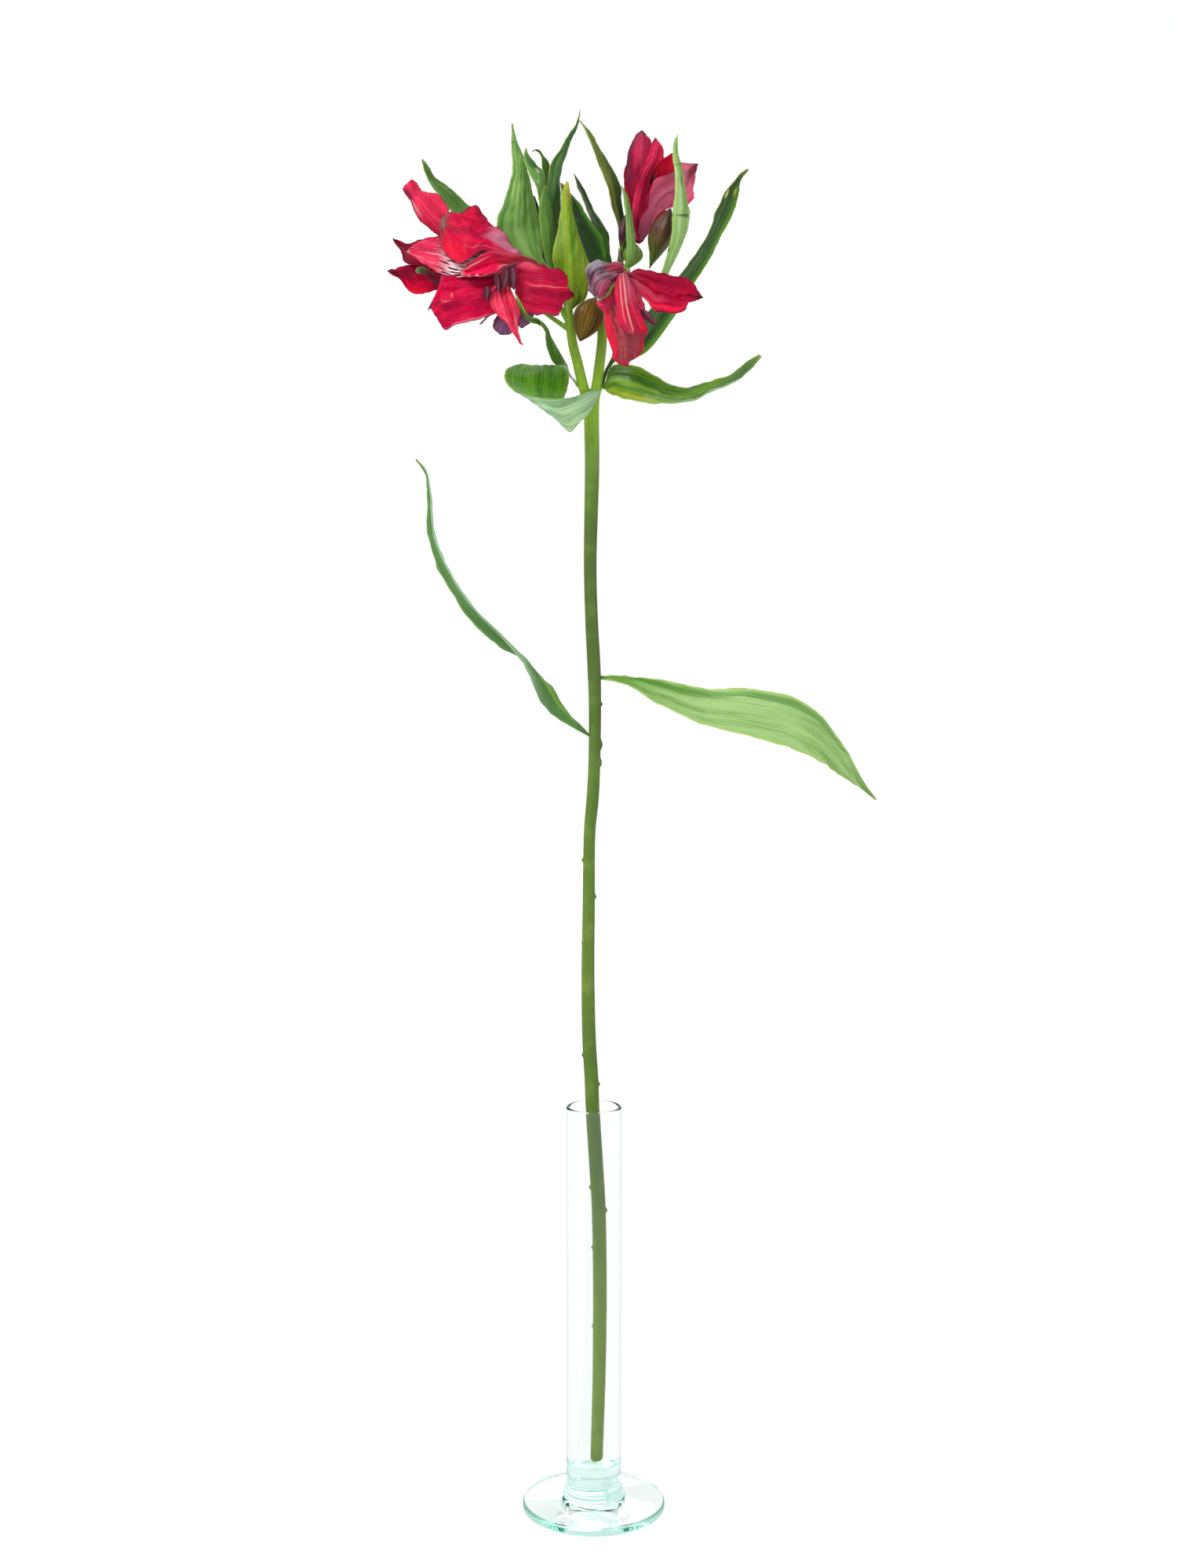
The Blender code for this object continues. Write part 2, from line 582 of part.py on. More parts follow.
BLOOM_TOP = {
    "left": [
        ((17, -5, 526.5), (17.5, -7, 526.5)),
        ((15, -5, 534.5), (18, -11, 534)),
        ((13.5, -5, 543.5), (19, -14, 543.5)),
        ((12.5, -4, 552), (21, -15, 552.5)),
        ((13, -3, 559), (22, -13, 559)),
        ((15, -3, 565.5), (21.5, -10, 564)),
        ((18, -3, 569), (20, -6, 568.5)),
    ],
    "keel": [
        ((17, -8, 526.5), (18.5, -8, 526.5)),
        ((17, -14, 534.5), (20, -14, 534.5)),
        ((18, -18, 543), (23, -18, 543.5)),
        ((20, -19, 551.5), (26, -17, 552.5)),
        ((21.5, -17, 559), (27.5, -14, 558.5)),
        ((23.5, -14, 564.5), (25, -13, 564)),
    ],
    "inner": [
        ((18, -3, 527), (19.5, -4, 527)),
        ((20, 0, 538), (25, -1, 539)),
        ((22.5, 1, 549), (32, 0, 550)),
        ((25, 2, 556.5), (34, 1, 556.5)),
        ((29, 2, 560), (31.5, 2, 559.5)),
    ],
    "right": [
        ((18, -8, 526.5), (19.5, -6, 526)),
        ((19.5, -15, 532.5), (22, -9, 531)),
        ((21.5, -20, 539.5), (26.5, -11, 537)),
        ((22.5, -22, 545), (32, -11, 538.5)),
        ((26.5, -21, 550.5), (37.5, -8, 540.5)),
        ((33.5, -15, 555), (39.5, -6, 549)),
        ((39.5, -9, 556), (41, -7, 555)),
    ],
    "back_left": [
        ((17, -3, 527.5), (18, -1, 528)),
        ((14.5, 3, 537), (20.5, 7, 538.5)),
        ((12.5, 5, 548), (23.5, 12, 550.5)),
        ((12, 5, 555.5), (25, 13, 560)),
        ((15.5, 5, 561.5), (24.5, 11, 565)),
        ((20.5, 7, 565.5), (23, 9, 565.5)),
    ],
    "back_right": [
        ((18, -2, 528), (19.5, -3, 527.5)),
        ((21, 8, 537.5), (26.5, 3, 536.5)),
        ((24, 13, 547.5), (33.5, 5, 544.5)),
        ((27, 14, 555), (38, 6, 549.5)),
        ((31.5, 12, 557), (37.5, 7, 553.5)),
    ],
}
BLOOM_LEFT = {
    "up": [
        ((-54, -9, 518), (-53, -7, 519.5)),
        ((-59, -14, 523.5), (-54.5, -10, 527)),
        ((-64, -17, 529), (-57, -12, 535)),
        ((-69, -18, 534.5), (-60, -13, 541.5)),
        ((-72, -17, 540), (-65.5, -13, 544.5)),
        ((-74.5, -15, 544.5), (-70.5, -13, 548)),
    ],
    "mid": [
        ((-53.5, -11, 517), (-53, -9, 518.5)),
        ((-60, -18, 516), (-59, -14, 524)),
        ((-66.5, -20, 515.5), (-65.5, -16, 525.5)),
        ((-73.5, -20, 518.5), (-71.5, -17, 524)),
        ((-77, -19, 521.5), (-75.5, -17, 524)),
        ((-79.5, -18, 526), (-79, -18, 526)),
    ],
    "low": [
        ((-53.5, -12, 515), (-53, -11, 516.5)),
        ((-59, -17, 507), (-58.5, -14, 516)),
        ((-65, -20, 504), (-64.5, -16, 516.5)),
        ((-71.5, -21, 504), (-70, -18, 515)),
        ((-75.5, -20, 508.5), (-74.5, -18, 514.5)),
        ((-79, -18, 511), (-77.5, -18, 513.5)),
        ((-81, -17, 512.5), (-81, -17, 513.5)),
    ],
    "green_tip": [
        ((-53.5, -14, 515), (-53, -14, 516.5)),
        ((-60, -20, 510.5), (-59, -19, 514)),
        ((-65.5, -23, 510), (-64.5, -22, 513.5)),
        ((-69.5, -24, 510.5), (-67.5, -23, 514)),
        ((-70.5, -23, 512), (-70, -23, 512.5)),
    ],
    "back_up": [
        ((-53.5, -6, 519), (-52.5, -5, 518.5)),
        ((-57, 2, 525.5), (-52.5, 4, 526)),
        ((-61, 8, 531.5), (-53.5, 11, 532.5)),
        ((-63, 12, 535.5), (-57, 14, 537)),
    ],
    "back_low": [
        ((-53.5, -7, 517), (-52.5, -5, 518)),
        ((-58, 0, 513), (-52.5, 3, 512.5)),
        ((-62.5, 7, 510), (-55.5, 10, 509)),
        ((-63.5, 12, 508), (-59, 13, 507)),
    ],
}
BLOOM_UNDER = {
    "left": [
        ((-28.5, -17, 501), (-27.5, -17, 500)),
        ((-33.5, -20, 498), (-30, -19, 495)),
        ((-38, -22, 494.5), (-31, -20, 491.5)),
        ((-39.5, -22, 491), (-32.5, -20, 488.5)),
        ((-38.5, -21, 488.5), (-34.5, -20, 487.5)),
    ],
    "right": [
        ((-28.5, -15, 500), (-27.5, -13, 500.5)),
        ((-29.5, -18, 495.5), (-25, -14, 497)),
        ((-29.5, -18, 492.5), (-24.5, -15, 494.5)),
        ((-29, -17, 490.5), (-25.5, -16, 492)),
    ],
    "strand": [
        ((-29, -16, 500.5), (-28, -15, 501.5)),
        ((-36, -22, 498), (-35, -21, 499.5)),
        ((-41, -24, 495), (-39.5, -23, 496.5)),
        ((-45, -24, 491.5), (-44, -24, 491.5)),
    ],
    "back": [
        ((-28, -13, 501.5), (-27, -12, 501)),
        ((-33, -8, 499.5), (-28, -6, 497.5)),
        ((-36, -4, 496.5), (-30.5, -2, 494)),
        ((-36.5, -3, 493.5), (-33, -2, 491.5)),
    ],
}

# Stem: cut end on the vase floor, leaning on the front of the rim, up to the fork
STEM_PATH = [(1.2, 4.3, 18.5), (1.6, 3.2, 32), (2.2, 0, 55), (2.5, -1.8, 80), (2.5, -3.2, 103),
             (2, -4.9, 131), (0.9, -5.4, 151), (-0.5, -5.8, 174), (-1, -6.5, 187), (-2, -7.6, 205),
             (-2.4, -9, 232), (-2.1, -10, 258), (-1.8, -11, 288), (-0.5, -11.7, 304), (0.2, -12.2, 320),
             (0.4, -13, 341), (0, -13.6, 357), (-1, -14.4, 377), (-1.5, -15.2, 400), (-0.8, -16.5, 435),
             (-1, -17.3, 455), (-1, -18, 465)]
STEM_RADII = [2.7, 2.75, 2.8, 2.9, 2.9, 2.9, 2.9, 2.9, 2.9, 2.85, 2.7, 2.55, 2.4, 2.55, 2.45, 2.55, 2.7, 2.6,
              2.6, 2.9, 3.0, 3.2]
RAY_LEFT = [(-1.5, -18, 461), (-4, -19, 467), (-6.5, -20, 477), (-8.5, -20, 485), (-10, -19.2, 497),
            (-11.5, -17, 505), (-13.5, -15, 512)]
RAY_RIGHT = [(-0.5, -18, 461), (1, -18, 468), (3, -18, 484), (3.2, -18, 492), (3.8, -17, 500),
             (6.5, -14, 508), (9, -12, 512)]
RAY_RADII = [2.2, 2.1, 2.0, 1.9, 1.7, 1.6, 1.7]
PEDICEL_RADII = [1.1, 1.0, 0.9, 1.0]
PEDICELS = {
    "front": [(-10, -19.2, 492.5), (-12.3, -20.4, 496.5), (-13.8, -21, 500.5), (-14.9, -21.6, 503.8)],
    "under": [(-10, -19.2, 490), (-14.5, -17.2, 493.3), (-17.5, -15.6, 495.5), (-20, -14.5, 497.6)],
    "left": [(-13.5, -15, 511), (-21, -9.5, 511), (-32, -5.5, 512.5), (-44.6, -4.5, 515.3)],
    "right": [(7, -13.5, 508.5), (9.5, -15, 511), (11.2, -17, 512), (12, -19, 512)],
    "bud front": [(3.6, -17.6, 497.5), (4.2, -21, 501.5), (3, -25, 503.4), (0.8, -26.9, 502.3)],
    "top": [(8.5, -12, 511), (10, -10, 512), (12, -8, 513), (13.3, -7, 514.2)],
    "bud right": [(8, -12.5, 511), (13.5, -11.5, 509), (19, -11.8, 510), (21.5, -12.8, 513.3)],
    "bud small": [(11.2, -9.2, 512.5), (11.6, -8.1, 515), (10.6, -4.8, 518.5), (10.5, -3.4, 523.6)],
}
# Leaf scars and nubs on the stem: height, angle about it (0 is +X, -90 the front) and length
NUBS = [(341.5, -10, 1.6), (325, -5, 5.0), (318, -15, 4.5), (277, 185, 1.8), (263, -10, 2.2),
        (243.5, -140, 3.2),
        (217, -50, 3.0), (196.5, 200, 2.4), (184, -5, 1.8), (150, -110, 1.6), (140, 180, 1.8), (130, 0, 2.2),
        (113, 175, 1.2), (79.5, 170, 1.2)]
NUB_DEPTH = 0.85
# Anthers of each flower: where the filament ends, and the way the anther points
STAMENS_FRONT = [((-31.5, -48, 507.5), (-0.1, -0.3, -1)), ((-33.5, -49.5, 501), (-0.1, -0.2, -1)),
                 ((-36.5, -48, 504), (-0.2, -0.2, -1)), ((-41, -47.5, 500), (-0.3, -0.2, -1))]
STAMENS_RIGHT = [((21.5, -40, 492), (0.7, 0, -0.7)), ((14, -40.8, 493), (0.1, 0, -1))]
STAMENS_TOP = [((23, -9, 549), (0.2, 0, 1)), ((26.5, -6, 547), (0.3, 0, 1)), ((21, -6, 546), (0, 0.1, 1))]
STAMENS_LEFT = [((-68, -4, 520), (-1, 0, 0.3)), ((-67, -1, 516), (-1, 0.2, 0)),
                ((-64, 1, 521), (-1, 0.3, 0.3))]


def stem():
    """The stem, its rays and its flower stalks grew as one piece, with leaf scars along it."""
    pieces = [tube("stem", STEM_PATH, STEM_RADII, STEM_GREEN, STEM_STEPS, STEM_ROUNDING),
              tube("ray left", RAY_LEFT, RAY_RADII, STEM_GREEN, RAY_STEPS, RAY_ROUNDING),
              tube("ray right", RAY_RIGHT, RAY_RADII, STEM_GREEN, RAY_STEPS, RAY_ROUNDING)]
    for name, path in PEDICELS.items():
        pieces.append(tube(name, path, PEDICEL_RADII, STEM_GREEN, STALK_STEPS, STALK_ROUNDING))
    heights = [Vector(point) for point in STEM_PATH]
    widths = [Vector((radius, 0, 0)) for radius in STEM_RADII]
    for height, angle, length in NUBS:
        t = next(step / 400 for step in range(401) if along(heights, step / 400).z >= height)
        out = Vector((math.cos(math.radians(angle)), math.sin(math.radians(angle)), 0))
        middle = along(heights, t) + out * (along(widths, t).x - NUB_DEPTH * 0.3)
        rise = Vector((0, 0, length / 2))
        low, high = middle - rise, middle + rise + out * 0.5
        pieces.append(pod("nub", low, high, NUB_DEPTH, STEM_GREEN, 6, 4, ridge=0))
    return fuse("stem", pieces, STEM_GREEN)


def bloom(name, heart, heart_radius, tepals, steps=7, dish=1.2, ruffle=0.55):
    """A flower's tepals, each drawn from a narrow claw and grown together at the heart."""
    heart = Vector(heart)
    lift = Vector((0, 0, heart_radius))
    pieces = [pod("heart", heart - lift, heart + lift, heart_radius, TEPAL_RED, 8, 5, ridge=0)]
    for number, rows in enumerate(tepals.values()):
        left, right = Vector(rows[0][0]), Vector(rows[0][1])
        claw = heart.lerp((left + right) / 2, 0.25)
        half = (right - left).normalized() * 0.5
        rows = [(claw - half, claw + half)] + rows
        waves = 1.5 + 0.25 * number
        piece = blade("tepal", rows, TEPAL_RED, steps, 4, dish, ruffle, waves)
        pieces.append(as_mesh(piece, TEPAL_RED))
    return fuse(name, pieces, TEPAL_RED, "MANIFOLD")


def stamens(name, heart, anthers, sag=2.0, pod_length=4.5, pod_radius=1.2):
    """Thin filaments from one small base, each with an anther on its end."""
    heart = Vector(heart)
    lift = Vector((0, 0, 1.1))
    pieces = [pod("base", heart - lift, heart + lift, 1.1, ANTHER_MAROON, 8, 5, ridge=0)]
    for place, aim in anthers:
        place, aim = Vector(place), Vector(aim).normalized()
        middle = (heart + place) / 2 + Vector((0, 0, sag))
        line, radii = [heart, middle, place], [FILAMENT_RADIUS] * 3
        pieces.append(tube("filament", line, radii, ANTHER_MAROON, STALK_STEPS, STALK_ROUNDING))
        start, end = place - aim * pod_length * 0.35, place + aim * pod_length * 0.65
        pieces.append(pod("anther", start, end, pod_radius, ANTHER_MAROON, 6, 5, 2, 0.15))
    return fuse(name, pieces, ANTHER_MAROON, "MANIFOLD")


glass_vase()
stem()

blade("leaf_mid_left", LEAF_MID_LEFT, LEAF_GREEN, 18, dish=-1.2)
blade("leaf_mid_right", LEAF_MID_RIGHT, LEAF_PALE, 16, dish=1.8)
blade("leaf_whorl_right", LEAF_WHORL_RIGHT, LEAF_GREEN, 15, dish=2.5)
blade("leaf_whorl_loop", LEAF_WHORL_LOOP, LEAF_PALE, 20, dish=0.6)
blade("leaf_whorl_twist", LEAF_WHORL_TWIST, LEAF_GREEN, 18, dish=0.8)
blade("leaf_whorl_tall", LEAF_WHORL_TALL, LEAF_DARK, 16, dish=1.5)
blade("leaf_broad_pale", LEAF_BROAD_PALE, LEAF_PALE, 14, dish=-2.0)
blade("leaf_front_yellow", LEAF_FRONT_YELLOW, LEAF_PALE, 12, dish=-2.0)
blade("leaf_tall_dark", LEAF_TALL_DARK, LEAF_DARK, 14, dish=-0.8)
blade("leaf_hook", LEAF_HOOK, LEAF_GREEN, 14, 2)
blade("leaf_curl", LEAF_CURL, LEAF_GREEN, 12, 2)
blade("leaf_slim_mid", LEAF_SLIM_MID, LEAF_GREEN, 9, 2, dish=-0.8)
blade("leaf_slim_dark", LEAF_SLIM_DARK, LEAF_DARK, 8, 2)
blade("leaf_dark_broad", LEAF_DARK_BROAD, LEAF_DARK, 11, dish=1.0)
blade("leaf_dark_slim", LEAF_DARK_SLIM, LEAF_DARK, 10, 2, dish=0.8)
blade("leaf_tall_arch", LEAF_TALL_ARCH, LEAF_DARK, 14, dish=0.8)
blade("leaf_small_front", LEAF_SMALL_FRONT, LEAF_PALE, 9, 2, dish=-0.5)
blade("leaf_pale_right", LEAF_PALE_RIGHT, LEAF_PALE, 14, 2, dish=-1.0)
blade("leaf_far_left", LEAF_FAR_LEFT, LEAF_GREEN, 12, dish=0.8)

bloom("bloom_front", (-19.8, -28.2, 512), 2.4, BLOOM_FRONT)
bloom("bloom_right", (12.2, -27, 509.5), 2.2, BLOOM_RIGHT)
bloom("bloom_top", (17.8, -5, 527), 2.2, BLOOM_TOP)
bloom("bloom_left", (-53.5, -9, 517.5), 2.2, BLOOM_LEFT, steps=6)
bloom("bloom_under", (-27.8, -15, 500.5), 2.0, BLOOM_UNDER, steps=5)

stamens("stamens_front", (-30.5, -41.4, 505.7), STAMENS_FRONT, sag=1.0, pod_length=7, pod_radius=1.5)
stamens("stamens_right", (12.4, -38, 501.8), STAMENS_RIGHT, sag=0.0)
stamens("stamens_top", (19.2, -7.2, 535.4), STAMENS_TOP, sag=0.0)
stamens("stamens_left", (-56.4, -7.8, 518.1), STAMENS_LEFT, sag=1.0)

pod("ovary_front", (-15.1, -21.9, 504.2), (-18.5, -26.4, 510), 2.6, OVARY_GREEN)
pod("ovary_right", (12, -19.5, 511.9), (12.1, -24.6, 510.3), 2.4, OVARY_GREEN)
pod("ovary_top", (13.5, -7, 514.6), (16.9, -5.6, 524.6), 3.8, OVARY_GREEN, fullest=0.6)
pod("ovary_left", (-45, -4.6, 515.5), (-51.6, -7.5, 517), 2.4, OVARY_GREEN)
pod("ovary_under", (-20.4, -14.4, 497.9), (-25.6, -14.4, 499.8), 2.2, OVARY_GREEN)
pod("bud_front", (0.2, -27, 501.4), (-5.5, -28, 484.5), 6.0, BUD_BROWN, 12, 8, point=0.9)
pod("bud_right", (21.7, -13, 513.8), (30, -18, 537), 4.9, BUD_BROWN, 12, 8, fullest=0.6)
pod("bud_small", (10.6, -3.3, 524), (12.6, -2.5, 537), 1.7, ANTHER_MAROON, 8, 6)
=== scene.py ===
# %% [markdown]
# # A cut alstroemeria stem in a glass bud vase
# One stem of a Peruvian lily, with crimson flowers, buds and long twisted leaves, stands in a narrow
# clear vase. The solid model comes first, and fixes every size. This notebook dresses it: each leaf
# and petal is drawn again in the same place as in the solid, with a finer mesh, thin margins, pleats
# and veins, and each surface gets a material for what it really is.

# %% Load the solid model
import math

import bmesh
import bpy
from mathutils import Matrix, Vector, noise


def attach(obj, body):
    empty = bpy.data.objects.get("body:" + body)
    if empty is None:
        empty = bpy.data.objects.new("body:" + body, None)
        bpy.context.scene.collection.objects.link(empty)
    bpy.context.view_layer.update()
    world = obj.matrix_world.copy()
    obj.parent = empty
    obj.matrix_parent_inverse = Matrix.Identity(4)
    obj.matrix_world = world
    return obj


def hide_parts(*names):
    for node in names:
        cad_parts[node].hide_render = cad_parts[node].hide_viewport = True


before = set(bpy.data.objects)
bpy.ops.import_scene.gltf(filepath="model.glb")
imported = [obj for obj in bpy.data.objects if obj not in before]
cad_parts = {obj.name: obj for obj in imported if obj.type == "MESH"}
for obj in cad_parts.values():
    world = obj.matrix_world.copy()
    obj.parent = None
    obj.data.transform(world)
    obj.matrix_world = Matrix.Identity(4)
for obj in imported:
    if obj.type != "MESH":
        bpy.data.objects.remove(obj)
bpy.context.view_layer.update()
MM = 0.001

# %% [markdown]
# ## Camera, light and floor
# The photo was taken on a white sweep with large soft lights, from a little above the middle of the
# stem. A tall narrow view from 0.9 m away, tipped 6 degrees down, gives the same openness of the
# vase's foot and rim. The surroundings are white near the horizon, so the background burns out as it
# does in the photo, and darker overhead, so that one large light from the upper left can shape the
# petals. Glass looks like what is seen through it, so light that comes through the vase finds white
# all round, and the gloss on leaves and glass is kept down by a dimmer studio in the reflections.

# %% Camera
EYE = (-0.0022, -0.9, 0.403)
TILT = math.radians(6)
camera_data = bpy.data.cameras.new("camera")
camera_data.sensor_fit = "VERTICAL"
camera_data.sensor_height = 36.0
camera_data.lens = 50.66
camera = bpy.data.objects.new("camera", camera_data)
camera.location = EYE
camera.rotation_euler = (math.pi / 2 - TILT, 0, 0)
bpy.context.scene.collection.objects.link(camera)
bpy.context.scene.camera = camera
bpy.context.scene.view_settings.view_transform = "Standard"
print("camera at", EYE)


# %% Nodes and colours
def linear(colour):
    """An sRGB hex colour as linear red, green, blue and alpha."""
    parts = [int(colour[i:i + 2], 16) / 255 for i in (1, 3, 5)]
    return (*[c / 12.92 if c <= 0.04045 else ((c + 0.055) / 1.055) ** 2.4 for c in parts], 1.0)


def add(tree, kind, inputs=None, **settings):
    """Add a node. Settings are its properties; inputs are its sockets, each a value or an output."""
    made = tree.nodes.new(kind)
    for key, value in settings.items():
        setattr(made, key, value)
    for key, value in (inputs or {}).items():
        if isinstance(value, bpy.types.NodeSocket):
            tree.links.new(value, made.inputs[key])
        else:
            made.inputs[key].default_value = value
    return made


def maths(tree, operation, *values):
    """The result of one operation on one, two or three values."""
    return add(tree, "ShaderNodeMath", dict(enumerate(values)), operation=operation).outputs[0]


def remap(tree, value, start, end, low=0.0, high=1.0, **settings):
    """low up to start, high from end on, and a straight or smooth way between them."""
    return add(tree, "ShaderNodeMapRange", {"Value": value, "From Min": start, "From Max": end,
                                            "To Min": low, "To Max": high}, **settings).outputs[0]


def between(tree, share, low, high):
    """A number between two others."""
    return add(tree, "ShaderNodeMix", {0: share, 2: low, 3: high}, data_type="FLOAT").outputs[0]


def layer(tree, share, under, over):
    """One colour laid over another, each a hex colour or an output."""
    under, over = [linear(c) if isinstance(c, str) else c for c in (under, over)]
    return add(tree, "ShaderNodeMix", {0: share, 6: under, 7: over}, data_type="RGBA").outputs[2]


def cloud(tree, place, scale=1.0, detail=2.0, stretch=None, shift=(0, 0, 0), **more):
    """Noise at a place, which may be stretched and shifted first."""
    if stretch:
        laid = add(tree, "ShaderNodeMapping", {"Vector": place, "Scale": stretch, "Location": shift})
        place = laid.outputs[0]
    return add(tree, "ShaderNodeTexNoise", {"Vector": place, "Scale": scale, "Detail": detail,
                                            **more}).outputs[0]


def new_material(name, clear=True):
    """A material and its tree, empty unless the first shader is wanted."""
    look = bpy.data.materials.new(name)
    look.use_nodes = True
    if clear:
        look.node_tree.nodes.clear()
    return look, look.node_tree


def dress(look, **values):
    """Set sockets of a material's first shader, underscores standing for spaces."""
    for key, value in values.items():
        look.node_tree.nodes["Principled BSDF"].inputs[key.replace("_", " ")].default_value = value


# %% Surroundings: white round the horizon, grey overhead
WHITE, OVERHEAD, REFLECTED = 1.02, 0.35, 0.5
world = bpy.data.worlds.new("white sweep")
world.use_nodes = True
sky = world.node_tree
sky.nodes.clear()
way = add(sky, "ShaderNodeTexCoord")
height = add(sky, "ShaderNodeSeparateXYZ", {0: way.outputs["Generated"]})
fade = remap(sky, height.outputs["Z"], 0.42, 0.8, WHITE, OVERHEAD)
kind = add(sky, "ShaderNodeLightPath")
studio = between(sky, kind.outputs["Is Glossy Ray"], fade, REFLECTED)
tent = between(sky, kind.outputs["Is Transmission Ray"], studio, WHITE)
glow = add(sky, "ShaderNodeBackground", {"Color": (1, 1, 1, 1), "Strength": tent})
add(sky, "ShaderNodeOutputWorld", {"Surface": glow.outputs[0]})
bpy.context.scene.world = world
# light bounces about inside the thick glass of the vase many times before it leaves
bpy.context.scene.cycles.max_bounces = 24
bpy.context.scene.cycles.glossy_bounces = 20
bpy.context.scene.cycles.transmission_bounces = 24
print("surroundings made")


# %% Lights
def soft_sun(name, place, power, openness):
    """A wide soft light, as bright everywhere, shining from a place towards the middle of the stem."""
    data = bpy.data.lights.new(name, "SUN")
    data.energy = power
    data.angle = math.radians(openness)
    lamp = bpy.data.objects.new(name, data)
    lamp.location = place
    lamp.rotation_euler = (Vector((0, 0, 0.45)) - Vector(place)).to_track_quat("-Z", "Y").to_euler()
    bpy.context.scene.collection.objects.link(lamp)
    print(name, "at", place)


soft_sun("key, upper left", (-0.9, -0.9, 1.5), 3.0, 35)
soft_sun("fill, right", (1.2, -0.7, 0.8), 0.6, 60)
soft_sun("back, top", (0.4, 1.0, 1.6), 1.5, 50)

# %% Floor, a hair below the vase's foot and left out of mirror reflections
floor_mesh = bpy.data.meshes.new("floor")
bm = bmesh.new()
bmesh.ops.create_grid(bm, x_segments=1, y_segments=1, size=6)
bmesh.ops.translate(bm, vec=(0, 0, -0.3 * MM), verts=bm.verts)
bm.to_mesh(floor_mesh)
bm.free()
floor = bpy.data.objects.new("floor", floor_mesh)
bpy.context.scene.collection.objects.link(floor)
floor.visible_glossy = False
white_floor = new_material("white acrylic sweep, lit from below", clear=False)[0]
dress(white_floor, Base_Color=(0.06, 0.06, 0.06, 1), Roughness=0.9, Specular_IOR_Level=0.1,
      Emission_Color=(1, 1, 1, 1), Emission_Strength=0.97)
floor_mesh.materials.append(white_floor)

# %% [markdown]
# ## Plant skins
# A leaf or petal has two map layers. The one called blade runs from 0 to 1 along and across, so lines
# of equal width across it fan out and close up with the blade, as parallel veins do. The one called
# span is in millimetres, for fibres and speckles that keep their real size.

